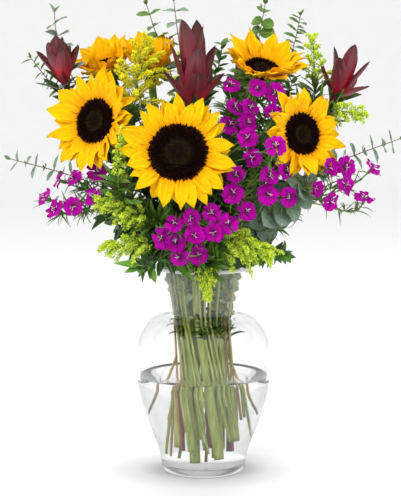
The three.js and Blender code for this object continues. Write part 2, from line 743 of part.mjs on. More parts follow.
/** One arching branchlet, knobbly with florets. */
function branchlet(root, along, length) {
  const across = axesFor(along).right;
  const rings = [[root.clone()]];
  const heading = along.clone();
  const point = root.clone();
  const step = length / (BRANCHLET_KNOBS.length + 1);
  BRANCHLET_KNOBS.forEach((radius, i) => {
    point.addScaledVector(heading, step);
    heading.applyAxisAngle(across, BRANCHLET_DROOP / BRANCHLET_KNOBS.length).normalize();
    const frame = axesFor(heading);
    const ring = [];
    for (let j = 0; j < 3; j += 1) {
      ring.push(around(frame, point, ((j - i * 0.5) / 3) * 2 * Math.PI, radius));
    }
    rings.push(ring);
  });
  rings.push([point.clone().addScaledVector(heading, step)]);
  return loft(rings);
}

/** The branchlets of a plume, longest low down, on the part of the stem beyond its base. */
function plume(owner, spray) {
  const base = vec(...spray.base);
  const tip = vec(...spray.tip);
  const frame = axesFor(tip.clone().sub(base));
  const random = seededRandom(spray.branchlets * 131 + spray.length);
  const pieces = [];
  for (let i = 0; i < spray.branchlets; i += 1) {
    const share = (i + 0.5) / spray.branchlets;
    const root = base.clone().lerp(tip, share * 0.94);
    const branch = fit(owner, 9, (turn) => {
      const angle = i * GOLDEN_TURN + swing(turn) * 0.35;
      const lean = radians(mix(58, 24, share) + jitter(random, 8));
      const out = around(frame, vec(0, 0, 0), angle, Math.sin(lean), Math.cos(lean));
      return branchlet(root, out, spray.length * mix(1.1, 0.55, share) * (1 - turn * 0.05));
    });
    if (branch) pieces.push(branch);
  }
  return pieces;
}

// ---- leafy stems -------------------------------------------------------------------------------

/** Leaves in crossed pairs along a stem, smaller towards its tip, after its bare share. */
function leaves(plant, points, bare) {
  const stalk = new THREE.CurvePath();
  points.slice(3).forEach((point, i) => stalk.add(new THREE.LineCurve3(points[i + 2], point)));
  const random = seededRandom(plant.pairs * 17 + Math.abs(plant.tip[0]));
  const [length, width] = plant.leaf;
  const pieces = [];
  for (let i = 0; i < plant.pairs; i += 1) {
    const share = mix(bare, 0.98, (i + 0.6) / plant.pairs);
    const frame = axesFor(stalk.getTangent(share));
    const size = mix(1.1, 0.7, (i + 0.5) / plant.pairs);
    for (let half = 0; half < 2; half += 1) {
      const root = stalk.getPoint(share + half * 0.02);
      const leaf = fit(plant.name, 10, (turn) => {
        const angle = i * 1.45 + half * Math.PI + swing(turn) * 0.32 + jitter(random, 0.2);
        const lean = radians(52 + jitter(random, 14) - turn * 2);
        const along = around(frame, vec(0, 0, 0), angle, Math.sin(lean), Math.cos(lean));
        const face = around(frame, vec(0, 0, 0), angle, -Math.cos(lean), Math.sin(lean));
        return blade({
          root, along, face, length: length * size, width: width * size, shape: [0.86, 0.9],
          thickness: LEAF_THICKNESS, bend: 0.35,
        });
      });
      if (leaf) pieces.push(leaf);
    }
  }
  return pieces;
}

// ---- building ----------------------------------------------------------------------------------

const nodes = []; // each finished node: its name, finish and solid
const finish = (name, finishName, solids) => nodes.push({ name, finishName, solid: fuse(solids) });

const vase = settle('vase', makeVase());
nodes.push({ name: 'vase', finishName: 'glass', solid: vase });

for (const flower of SUNFLOWERS) {
  const frame = axesFor(facing(flower.turn, flower.lift));
  const centre = vec(...flower.at);
  const owner = `sunflower_${flower.name}`;
  flower.stemNode = `${owner}_calyx_stem`;
  const disc = settle(`${owner}_disc`, seedDisc(frame, centre, flower.disc));
  nodes.push({ name: `${owner}_disc`, finishName: 'disc', solid: disc });
  flower.cupPieces = calyx(flower.stemNode, frame, centre, flower, SUNFLOWER_STEM);
  const ring = settle(`${owner}_petals`, petalRing(frame, centre, flower.disc));
  finish(`${owner}_petals`, 'petal', [ring, ...petals(`${owner}_petals`, frame, centre, flower)]);
  stems.push({
    owner: flower.stemNode,
    end: centre.clone().addScaledVector(frame.axis, DISC_BACK - 2 - flower.disc * 0.75),
    beyond: [centre.clone().addScaledVector(frame.axis, DISC_BACK - 3)],
    arrive: frame.axis, radius: SUNFLOWER_STEM, taper: 0.9, sides: 5,
  });
}

for (const head of LEUCADENDRONS) {
  const owner = `leucadendron_${head.name}`;
  head.pieces = bracts(owner, head);
  const arrive = vec(...head.tip).sub(vec(...head.at)).normalize();
  const end = vec(...head.at);
  const beyond = [end.clone().addScaledVector(arrive, head.length * 0.2)];
  stems.push({ owner, end, beyond, arrive, radius: LEUCADENDRON_STEM, taper: 0.9, sides: 5 });
}

for (const spray of DIANTHUS) {
  spray.owner = `dianthus_${spray.name}`;
  spray.random = seededRandom(spray.florets.length * 53 + spray.florets[0][0]);
  spray.blooms = spray.florets.map((place, turn) => {
    const face = floretFacing(vec(...place), spray.random);
    const centre = vec(...place);
    const solid = fit(spray.owner, FLORET_TRIES, (attempt) => {
      const shift = Math.min(attempt * 0.4, 8);
      const aside = vec(jitter(spray.random, shift), 0, jitter(spray.random, shift));
      centre.set(...place).addScaledVector(face, shift * 0.7).add(aside);
      return floret(centre, face, calyxRings(centre, face, []));
    });
    if (!solid) throw new Error(`a floret of ${spray.owner} finds no place`);
    return { face, centre, turn };
  });
  const middle = vec(0, 0, 0);
  for (const bloom of spray.blooms) {
    middle.addScaledVector(bloom.centre, 1 / spray.blooms.length);
  }
  const end = middle.clone().lerp(vec(0, 0, middle.z - 70), 0.36);
  spray.hub = end;
  const arrive = middle.clone().sub(end).normalize().add(vec(0, 0, 0.5)).normalize();
  stems.push({ owner: spray.owner, end, beyond: [], arrive, radius: DIANTHUS_STEM, taper: 0.8, sides: 4 });
}

for (const spray of SOLIDAGO) {
  const owner = `solidago_${spray.name}`;
  const end = vec(...spray.base);
  const tip = vec(...spray.tip);
  const arrive = tip.clone().sub(end).normalize();
  stems.push({ owner, end, beyond: [tip], arrive, radius: THIN_STEM, taper: 0.6, sides: 4 });
}

for (const plant of [...LEAFY, ...GREENS]) {
  const end = vec(...plant.tip);
  const arrive = end.clone().sub(vec(...plant.via)).normalize();
  stems.push({ owner: plant.name, end, beyond: [], arrive, radius: THIN_STEM, taper: 0.55, sides: 3 });
}

packNeck();
stems.forEach((stem, i) => {
  const cut = ((i * 7) % FOOT_STEPS) * (stem.radius > DIANTHUS_STEM ? THICK_FOOT_STEP : THIN_FOOT_STEP);
  stem.foot = GLASS_BASE + FLOOR_CLEARANCE + cut + FOOT_RISE * outwards(stem) ** 2;
});
const stemOf = new Map();
for (const stem of stems) {
  stemOf.set(stem.owner, { stem, solid: growStem(stem) });
}

for (const flower of SUNFLOWERS) {
  finish(flower.stemNode, 'stem', [stemOf.get(flower.stemNode).solid, ...flower.cupPieces]);
}
for (const head of LEUCADENDRONS) {
  const owner = `leucadendron_${head.name}`;
  finish(owner, 'bract', [stemOf.get(owner).solid, ...head.pieces]);
}

for (const spray of DIANTHUS) {
  const { stem, solid } = stemOf.get(spray.owner);
  const last = stem.points[stem.points.length - 2];
  const forks = [1, 0.75, 0.5, 0.25].map((share) => last.clone().lerp(spray.hub, share));
  const pieces = [solid];
  for (const bloom of spray.blooms) {
    const pedicel = fit(spray.owner, PEDICEL_TRIES, (turn) => {
      const from = forks[(turn + bloom.turn) % forks.length];
      const size = Math.min(turn * 0.3, 30);
      const bend = from.clone().lerp(bloom.centre, 0.5)
        .add(vec(jitter(spray.random, size), jitter(spray.random, size), jitter(spray.random, size)));
      const way = turn < forks.length ? [from] : [from, bend];
      return floret(bloom.centre, bloom.face, calyxRings(bloom.centre, bloom.face, way));
    });
    if (!pedicel) throw new Error(`a pedicel of ${spray.owner} finds no way`);
    pieces.push(pedicel);
  }
  finish(spray.owner, 'dianthus', pieces);
}

for (const spray of SOLIDAGO) {
  const owner = `solidago_${spray.name}`;
  finish(owner, 'solidago', [stemOf.get(owner).solid, ...plume(owner, spray)]);
}

for (const plant of LEAFY) {
  const { stem, solid } = stemOf.get(plant.name);
  finish(plant.name, 'eucalyptus', [solid, ...leaves(plant, stem.points, LEAFY_BARE)]);
}
for (const plant of GREENS) {
  const { stem, solid } = stemOf.get(plant.name);
  finish(plant.name, 'foliage', [solid, ...leaves(plant, stem.points, 0)]);
}

nodes.push({ name: 'water', finishName: 'water', solid: makeWater(stems.map(pocket)) });

/** A mesh of a finished solid, in its own colour. */
function meshOf({ name, finishName, solid }) {
  const { vertProperties, triVerts } = solid.getMesh();
  const geometry = new THREE.BufferGeometry();
  geometry.setAttribute('position', new THREE.BufferAttribute(vertProperties, 3));
  geometry.setIndex(new THREE.BufferAttribute(triVerts, 1));
  geometry.computeVertexNormals();
  const piece = new THREE.Mesh(geometry, new THREE.MeshStandardMaterial(FINISHES[finishName]));
  piece.name = name;
  return piece;
}

const bunch = new THREE.Group();
for (const node of nodes) {
  bunch.add(meshOf(node));
}

export default bunch;
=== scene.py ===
"""Dresses a bunch of sunflowers, bracts, florets, plumes and greens in a clear glass urn vase.

Sizes are in millimetres, as in the CAD part, and become metres when a mesh is made. The bunch faces
-Y, and the origin is the centre of the vase's underside.
"""

import logging
import math
from dataclasses import dataclass, field, replace
from enum import Enum
from typing import ClassVar

import bpy
import numpy as np
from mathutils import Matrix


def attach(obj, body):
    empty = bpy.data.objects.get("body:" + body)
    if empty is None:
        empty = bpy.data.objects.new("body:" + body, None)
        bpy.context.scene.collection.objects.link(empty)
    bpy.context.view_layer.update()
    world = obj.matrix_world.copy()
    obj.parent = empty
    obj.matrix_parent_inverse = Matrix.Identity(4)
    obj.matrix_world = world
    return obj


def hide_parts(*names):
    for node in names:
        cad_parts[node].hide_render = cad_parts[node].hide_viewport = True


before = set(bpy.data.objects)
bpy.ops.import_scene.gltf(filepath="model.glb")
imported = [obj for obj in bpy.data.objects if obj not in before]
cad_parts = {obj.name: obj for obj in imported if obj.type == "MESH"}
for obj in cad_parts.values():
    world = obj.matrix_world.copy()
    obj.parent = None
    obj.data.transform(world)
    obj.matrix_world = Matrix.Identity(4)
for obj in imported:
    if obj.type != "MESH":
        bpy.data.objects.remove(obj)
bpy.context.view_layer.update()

Array = np.ndarray
Random = np.random.Generator
Point = tuple[float, float, float]
Colour = tuple[float, float, float]
Stops = tuple[tuple[float, Colour], ...]
Pair = tuple[float, float]
Pairs = tuple[Pair, ...]

MM = 0.001
FULL_TURN = 2 * math.pi
GOLDEN_TURN = math.pi * (3 - math.sqrt(5))
ANY_TURN = (0.0, 6.3)  # a full turn or a little more
HEART = np.array([0.0, 160.0, 330.0])  # leaves turn away from here, towards the front and the light
ORIGIN = np.zeros(3)
LEAST_RADIUS = 0.01  # keeps the corners of a closed end apart
END_SHARE = 0.05  # how wide a stalk's closed end is
log = logging.getLogger("bunch")


# ---- directions ----------------------------------------------------------------------------------


def unit(rows: Array) -> Array:
    """The vector, or each row of vectors, at length one."""
    return rows / np.linalg.norm(rows, axis=-1, keepdims=True)


def facing(turn: float, lift: float) -> Array:
    """The direction of a head that is turned towards +X and lifted, in degrees."""
    a, b = math.radians(turn), math.radians(lift)
    return np.array([math.sin(a) * math.cos(b), -math.cos(a) * math.cos(b), math.sin(b)])


@dataclass(frozen=True)
class Axes:
    """An axis, with the viewer's right and up when it is looked at."""

    axis: Array
    right: Array
    up: Array

    @classmethod
    def along(cls, way: Array) -> "Axes":
        """The axes whose main one follows a way.

        Args:
            way: The way, of any length.

        Returns:
            The axes, with their right as level as can be.
        """
        axis = unit(np.asarray(way, float))
        helper = np.array([0.0, 1.0, 0.0]) if abs(axis[2]) > 0.98 else np.array([0.0, 0.0, 1.0])
        right = unit(np.cross(helper, axis))
        return cls(axis, right, np.cross(axis, right))

    def out(self, angle: Array) -> Array:
        """Directions square to the axis, one row for each angle."""
        angle = np.atleast_1d(angle)[:, None]
        return np.cos(angle) * self.right + np.sin(angle) * self.up

    def lean(self, angle: Array, lean: Array) -> Array:
        """Directions that lean away from the axis, one row for each angle."""
        lean = np.broadcast_to(lean, np.shape(np.atleast_1d(angle)))[:, None]
        return self.out(angle) * np.sin(lean) + self.axis * np.cos(lean)

    def splay(self, angle: Array, lean: Array) -> tuple[Array, Array]:
        """Directions that lean away from the axis, and those that a blade's front then looks in."""
        return self.lean(angle, lean), -self.lean(angle, lean + math.pi / 2)


UPRIGHT = Axes(np.array([0.0, 0.0, 1.0]), np.array([1.0, 0.0, 0.0]), np.array([0.0, 1.0, 0.0]))


# ---- meshes --------------------------------------------------------------------------------------


@dataclass
class Patch:
    """Some points and faces, with three marks a point: along, across and tint."""

    points: Array
    faces: Array
    marks: Array


def grid_faces(rows: int, columns: int, ring: bool = False) -> Array:
    """Quads of a grid of points, row by row.

    Args:
        rows: Number of rows.
        columns: Points in a row.
        ring: Whether each row closes on itself.

    Returns:
        Corner numbers, four to a face.
    """
    r, c = np.meshgrid(np.arange(rows - 1), np.arange(columns if ring else columns - 1), indexing="ij")
    here, right = r * columns + c, r * columns + (c + 1) % columns
    return np.stack([here, right, right + columns, here + columns], -1).reshape(-1, 4)


def repeat_faces(faces: Array, copies: int, size: int) -> Array:
    """The same faces for a number of copies of "size" points each."""
    return (faces[None] + (np.arange(copies) * size)[:, None, None]).reshape(-1, faces.shape[1])


def ringed(rings: Array, along: Array, tint: float) -> Patch:
    """The skin over a row of rings.

    Args:
        rings: The points, ring by ring.
        along: The "along" mark of each ring.
        tint: The tint mark of all points.

    Returns:
        The skin.
    """
    count, sides = rings.shape[:2]
    across = np.tile(np.cos(np.arange(sides) / sides * FULL_TURN), count)
    marks = np.stack([np.repeat(along, sides), across, np.full(count * sides, tint)], -1)
    return Patch(rings.reshape(-1, 3), grid_faces(count, sides, True), marks)


def turned(
    profile: Pairs, sides: int, axes: Axes = UPRIGHT, centre: Array = ORIGIN, tint: float = 0.5,
) -> Patch:
    """A skin turned round an axis.

    Args:
        profile: Radius and height of each ring.
        sides: Points round it.
        axes: The axis and its cross directions.
        centre: The point at height nought.
        tint: The tint mark of all points.

    Returns:
        The skin, with "along" running over the rings.
    """
    out = axes.out(np.arange(sides) / sides * FULL_TURN)
    rings = np.array([centre + out * max(r, LEAST_RADIUS) + axes.axis * h for r, h in profile])
    return ringed(rings, np.linspace(0, 1, len(profile)), tint)


def smooth_line(points: Array, steps: int) -> Array:
    """A soft curve through points.

    Args:
        points: The points.
        steps: How many steps there are between each two.

    Returns:
        The points of the curve.
    """
    p = np.vstack([2 * points[0] - points[1], points, 2 * points[-1] - points[-2]])
    t = np.linspace(0, 1, steps, endpoint=False)[:, None]
    parts = []
    for a, b, c, d in zip(p, p[1:], p[2:], p[3:]):
        bow = (2 * a - 5 * b + 4 * c - d) * t**2 + (3 * b - a - 3 * c + d) * t**3
        parts.append(0.5 * (2 * b + (c - a) * t + bow))
    return np.vstack([*parts, points[-1:]])


def bezier(a: Array, b: Array, c: Array, d: Array, steps: int) -> Array:
    """Points of a curve from a to d that b and c pull at."""
    t = np.linspace(0, 1, steps + 1)[:, None]
    return (1 - t) ** 3 * a + 3 * (1 - t) ** 2 * t * b + 3 * (1 - t) * t**2 * c + t**3 * d


def spots_on(line: Array, place: Array) -> tuple[Array, Array]:
    """Points between the points of a line.

    Args:
        line: The points of the line.
        place: Where each new point is, counted in points of the line.

    Returns:
        The new points, and the step of the line at each.
    """
    low = np.minimum(place.astype(int), len(line) - 2)
    step = line[low + 1] - line[low]
    return line[low] + step * (place - low)[:, None], step


def tube(line: Array, radii: Array | float, sides: int = 8, ridge: float = 0.0) -> Patch:
    """A round stalk along a line, closed at both ends.

    Args:
        line: Points that it follows.
        radii: Its radius, at each point or everywhere.
        sides: Points round it.
        ridge: How far every other side stands out, as a share of the radius.

    Returns:
        The stalk, with "along" from its start to its end.
    """
    count = len(line)
    ways = unit(np.gradient(line, axis=0))
    side = Axes.along(ways[0]).right
    angle = np.arange(sides) / sides * FULL_TURN
    swell = 1 + ridge * (np.arange(sides) % 2 - 0.5)
    rings = []
    for point, way, radius in zip(line, ways, np.broadcast_to(radii, count)):
        side = unit(side - way * side.dot(way))
        out = np.cos(angle)[:, None] * side + np.sin(angle)[:, None] * np.cross(way, side)
        rings.append(point + out * (swell * radius)[:, None])
    ends = [line[i] + (rings[i] - line[i]) * END_SHARE for i in (0, -1)]
    travel = np.concatenate([[0], np.linspace(0, 1, count), [1]])
    return ringed(np.array([ends[0], *rings, ends[1]]), travel, 0.5)


def scatter(shape: Patch, places: Array, ways: Array, sizes: Array, tints: Array, rng: Random) -> Patch:
    """Copies of a small shape whose own axis is +Z.

    Args:
        shape: The shape, about the origin.
        places: Where each copy stands.
        ways: Which way each copy's axis points.
        sizes: How large each copy is.
        tints: The tint mark of each copy.
        rng: Turns each copy about its axis.

    Returns:
        All the copies.
    """
    axis = unit(ways)
    right = unit(np.cross(np.where(np.abs(axis[:, 2:]) > 0.9, [[1.0, 0, 0]], [[0, 0, 1.0]]), axis))
    up = np.cross(axis, right)
    spin = rng.uniform(0, FULL_TURN, len(places))[:, None]
    u, v = np.cos(spin) * right + np.sin(spin) * up, np.cos(spin) * up - np.sin(spin) * right
    turns = np.stack([u, v, axis], 1) * np.asarray(sizes)[:, None, None]
    points = np.einsum("kj,bji->bki", shape.points, turns) + places[:, None]
    marks = np.tile(shape.marks, (len(places), 1))
    marks[:, 2] = np.repeat(tints, len(shape.points))
    return Patch(points.reshape(-1, 3), repeat_faces(shape.faces, len(places), len(shape.points)), marks)


class Outline(Enum):
    """The outline of a petal or leaf: share of its length, share of its width."""

    SUNFLOWER = (
        (0, 0.42), (0.1, 0.66), (0.25, 0.92), (0.4, 1), (0.58, 0.92), (0.75, 0.66), (0.9, 0.27), (1, 0.02),
    )
    SEPAL = ((0, 0.8), (0.2, 1), (0.45, 0.85), (0.7, 0.45), (0.88, 0.16), (1, 0.03))
    BRACT = (
        (0, 0.5), (0.15, 0.78), (0.35, 0.98), (0.55, 1), (0.75, 0.84), (0.88, 0.6), (0.96, 0.34), (1, 0.06),
    )
    COLLAR = ((0, 0.4), (0.25, 0.8), (0.5, 1), (0.75, 0.8), (0.93, 0.4), (1, 0.05))
    FLORET = (
        (0, 0.12), (0.2, 0.26), (0.4, 0.66), (0.58, 0.95), (0.74, 1.02), (0.88, 0.88), (0.96, 0.64), (1, 0.4),
    )
    TUFT = ((0, 0.7), (0.3, 1), (0.7, 0.6), (1, 0.03))
    NEEDLE = ((0, 0.7), (0.3, 1), (0.7, 0.7), (1, 0.03))
    NARROW = ((0, 0.4), (0.35, 1), (0.7, 0.7), (1, 0.03))
    OVAL = ((0, 0.12), (0.1, 0.5), (0.3, 0.92), (0.5, 1), (0.72, 0.82), (0.88, 0.48), (1, 0.04))
    ROUND = ((0, 0.15), (0.08, 0.55), (0.25, 0.92), (0.5, 1.1), (0.75, 0.92), (0.92, 0.5), (1, 0.06))
    LANCE = ((0, 0.1), (0.12, 0.45), (0.32, 0.95), (0.45, 1), (0.65, 0.8), (0.85, 0.4), (1, 0.02))


@dataclass(frozen=True)
class Blade:
    """The form that a family of petals or leaves shares; angles are in radians.

    Each blade has a front and a back skin that meet at its edge.
    """

    outline: Outline
    bend: float = 0.1
    bend_spread: float = 0.15
    curl: float = 0.0
    cup: float = 0.2
    twist: float = 0.15
    sway: float = 0.06
    ripple: float = 0.0
    ripples: float = 2.5
    groove: float = 0.0
    teeth: float = 0.0
    thickness: float = 0.6
    rows: int = 10
    columns: int = 7

    @property
    def size(self) -> int:
        """Points of one blade."""
        return 2 * self.rows * self.columns

    def grow(
        self, roots: Array, along: Array, face: Array, length: Array | float, width: Array | float,
        rng: Random,
    ) -> Patch:
        """Grows one blade from each root.

        Args:
            roots: Where each blade starts.
            along: The way it leaves its root.
            face: The way its front looks.
            length: Its length.
            width: Its greatest width.
            rng: Sets the small differences between blades.

        Returns:
            All the blades, marked from root to tip, from edge to edge, and by blade.
        """
        count = len(roots)
        t, s = np.linspace(0, 1, self.rows), np.linspace(-1, 1, self.columns)
        tall = t[None, :, None]
        length = np.broadcast_to(length, count)[:, None, None]
        outline = np.interp(t, *zip(*self.outline.value))
        half = (outline * np.broadcast_to(width, count)[:, None] / 2)[..., None]
        along = unit(along)
        face = unit(face - along * np.sum(face * along, -1, keepdims=True))
        across = np.cross(face, along)[:, None]
        bend = self.bend + rng.uniform(-1, 1, count) * self.bend_spread
        angle = bend[:, None] * t + (self.curl * rng.uniform(0.3, 1.2, count))[:, None] * t**3
        cos, sin = np.cos(angle)[..., None], np.sin(angle)[..., None]
        heading = along[:, None] * cos - face[:, None] * sin
        normal = face[:, None] * cos + along[:, None] * sin
        steps = np.cumsum((heading[:, 1:] + heading[:, :-1]) / 2, 1) / (self.rows - 1) * length
        spine = roots[:, None] + np.concatenate([np.zeros((count, 1, 3)), steps], 1)
        spine = spine + across * rng.uniform(-1, 1, (count, 1, 1)) * self.sway * length * tall**2
        turn = rng.uniform(-1, 1, (count, 1, 1)) * self.twist * tall
        side = across * np.cos(turn) + normal * np.sin(turn)
        normal = normal * np.cos(turn) - across * np.sin(turn)
        phase = rng.uniform(0, FULL_TURN, (count, 1, 1))
        wave = np.sin(FULL_TURN * self.ripples * tall + phase + 1.9 * (s > 0)) * s**2
        height = half * (self.cup * s**2 + self.ripple * wave + self.groove * np.cos(3 * math.pi * s))
        front = spine[:, :, None] + side[:, :, None] * (half * s)[..., None]
        front = front + normal[:, :, None] * height[..., None]
        tooth = t[:, None] ** 8 * (np.arange(self.columns) % 2) * self.teeth
        front = front - heading[:, :, None] * (tooth * length)[..., None]
        body = (1 - np.abs(s) ** 3) * np.sin(math.pi * np.clip(t, 0.02, 1))[:, None] ** 0.5
        back = front - normal[:, :, None] * (body * self.thickness)[..., None]
        quads = grid_faces(self.rows, self.columns)
        faces = np.concatenate([quads[:, ::-1], quads + self.size // 2])
        tints = np.repeat(rng.uniform(0, 1, count), self.size)
        along_marks, across_marks = np.repeat(t, self.columns), np.tile(s, self.rows)
        marks = (np.tile(along_marks, 2 * count), np.tile(across_marks, 2 * count), tints)
        points = np.stack([front, back], 1).reshape(-1, 3)
        return Patch(points, repeat_faces(faces, count, self.size), np.stack(marks, -1))


@dataclass(frozen=True)
class Leafage:
    """How leaves stand round a stem, one after another; leans are in degrees."""

    form: Blade
    length: Pair
    slim: float
    lean: Pair = (35.0, 75.0)
    span: Pair = (0.0, 1.0)
    turned: float = 0.8
    taper: float = 1.0
    paired: bool = False
    look: Point = (0, 0, 0)
    pair_turn: float = 1.75

    def grow(self, line: Array, count: int, rng: Random) -> Patch:
        """Grows the leaves of one stem.

        Args:
            line: Points of the stem.
            count: Number of leaves.
            rng: Sets the small differences between leaves.

        Returns:
            All the leaves.
        """
        order = np.arange(count)
        level = order // 2 * 2 if self.paired else order + rng.uniform(0, 1, count)
        share = self.span[0] + (self.span[1] - self.span[0]) * np.minimum((level + 0.5) / count, 1)
        roots, step = spots_on(line, share * (len(line) - 1.001))
        way = unit(step)
        right = unit(np.cross(np.where(np.abs(way[:, 2:]) > 0.98, [[0, 1.0, 0]], [[0, 0, 1.0]]), way))
        spin = order % 2 * math.pi + order // 2 * self.pair_turn if self.paired else order * GOLDEN_TURN
        angle = (spin + rng.uniform(-0.4, 0.4, count) * (0.5 if self.paired else 1.0))[:, None]
        out = np.cos(angle) * right + np.sin(angle) * np.cross(way, right)
        lean = np.radians(rng.uniform(*self.lean, count))[:, None]
        along = way * np.cos(lean) + out * np.sin(lean)
        face = way * np.sin(lean) - out * np.cos(lean) + unit(roots - HEART) * self.turned + self.look
        length = rng.uniform(*self.length, count) * (1 + (self.taper - 1) * share)
        return self.form.grow(roots, along, face, length, length * self.slim, rng)


# ---- finishes ------------------------------------------------------------------------------------


class Blend(Enum):
    """How two colours are put together."""

    PLAIN = "MIX"
    DARKEN = "MULTIPLY"


class Recipe:
    """One material while its nodes are put together."""

    def __init__(self, name: str, roughness: float) -> None:
        """Starts a material.

        Args:
            name: Its name.
            roughness: The roughness of its shader.
        """
        self.material = bpy.data.materials.new(name)
        self.material.use_nodes = True
        self.tree = self.material.node_tree
        self.tree.nodes.clear()
        self.shader = self.add("ShaderNodeBsdfPrincipled")
        self.shader.inputs["Roughness"].default_value = roughness
        output = self.add("ShaderNodeOutputMaterial")
        self.tree.links.new(self.shader.outputs[0], output.inputs["Surface"])

    def add(self, kind: str, **settings: object) -> bpy.types.Node:
        """Adds a node.

        Args:
            kind: Its type.
            settings: Some of its properties.

        Returns:
            The node.
        """
        node = self.tree.nodes.new(kind)
        for name, value in settings.items():
            setattr(node, name, value)
        return node

    def feed(self, socket: bpy.types.NodeSocket, value: object) -> None:
        """Fills a socket.

        Args:
            socket: The socket.
            value: What it gets: another socket or a value.
        """
        if isinstance(value, bpy.types.NodeSocket):
            self.tree.links.new(value, socket)
        else:
            socket.default_value = value

    def mark(self, name: str) -> bpy.types.NodeSocket:
        """The value of one of the mesh's marks."""
        return self.add("ShaderNodeAttribute", attribute_name=name).outputs["Fac"]

    def sum(self, operation: str, a: object, b: object = 0.0) -> bpy.types.NodeSocket:
        """A sum of two values.

        Args:
            operation: What is done with them.
            a: The first, a socket or a number.
            b: The second.

        Returns:
            The result.
        """
        node = self.add("ShaderNodeMath", operation=operation)
        self.feed(node.inputs[0], a)
        self.feed(node.inputs[1], b)
        return node.outputs[0]

    def grain(self, size: float, detail: float = 3.0, stretch: Point = (1, 1, 1)) -> bpy.types.NodeSocket:
        """Cloudy noise.

        Args:
            size: Size of its patches in millimetres.
            detail: How many finer layers it has.
            stretch: How much denser it is along each axis.

        Returns:
            A value about 0.5.
        """
        noise = self.add("ShaderNodeTexNoise")
        noise.inputs["Scale"].default_value = 1000.0 / size
        noise.inputs["Detail"].default_value = detail
        self.feed(noise.inputs["Vector"], self.place(stretch))
        return noise.outputs["Fac"]

    def place(self, stretch: Point) -> bpy.types.NodeSocket:
        """The place on the object, stretched along its axes.

        Args:
            stretch: How far it is stretched along each.

        Returns:
            The place.
        """
        mapping = self.add("ShaderNodeMapping")
        mapping.inputs["Scale"].default_value = stretch
        self.feed(mapping.inputs["Vector"], self.add("ShaderNodeTexCoord").outputs["Object"])
        return mapping.outputs[0]

    def ramp(self, value: object, stops: Stops) -> bpy.types.NodeSocket:
        """A colour that runs over a row of stops.

        Args:
            value: Where on the row it is.
            stops: The place and colour of each stop.

        Returns:
            The colour.
        """
        node = self.add("ShaderNodeValToRGB")
        elements = node.color_ramp.elements
        while len(elements) < len(stops):
            elements.new(0.5)
        for element, (position, colour) in zip(elements, stops):
            element.position = position
            element.color = (*colour, 1)
        self.feed(node.inputs["Fac"], value)
        return node.outputs["Color"]

    def mix(self, blend: Blend, share: object, a: object, b: object) -> bpy.types.NodeSocket:
        """Puts two colours together.

        Args:
            blend: How it is done.
            share: How much of the second is taken.
            a: The first colour.
            b: The second colour.

        Returns:
            The colour.
        """
        node = self.add("ShaderNodeMix", data_type="RGBA", blend_type=blend.value)
        for name, value in (("Factor", share), ("A", a), ("B", b)):
            self.feed(node.inputs[name], value)
        return node.outputs["Result"]

    def finish(self, colour: object, height: object, relief: float, **sockets: float) -> bpy.types.Material:
        """Joins the colour and the relief to the shader.

        Args:
            colour: The base colour.
            height: The value that the surface rises with.
            relief: How far it rises, in millimetres.
            sockets: Other sockets of the shader and their values.

        Returns:
            The material.
        """
        self.feed(self.shader.inputs["Base Color"], colour)
        bump = self.add("ShaderNodeBump")
        bump.inputs["Distance"].default_value = relief * MM
        self.feed(bump.inputs["Height"], height)
        self.feed(self.shader.inputs["Normal"], bump.outputs[0])
        for name, value in sockets.items():
            self.shader.inputs[name.replace("_", " ")].default_value = value
        return self.material


@dataclass(frozen=True)
class Finish:
    """What every finish has: a name and a roughness."""

    name: str
    roughness: float = 0.55

    def material(self) -> bpy.types.Material:
        """The material, made once."""
        return bpy.data.materials.get(self.name) or self.mix()

    def mix(self) -> bpy.types.Material:
        """Makes the material."""
        raise NotImplementedError


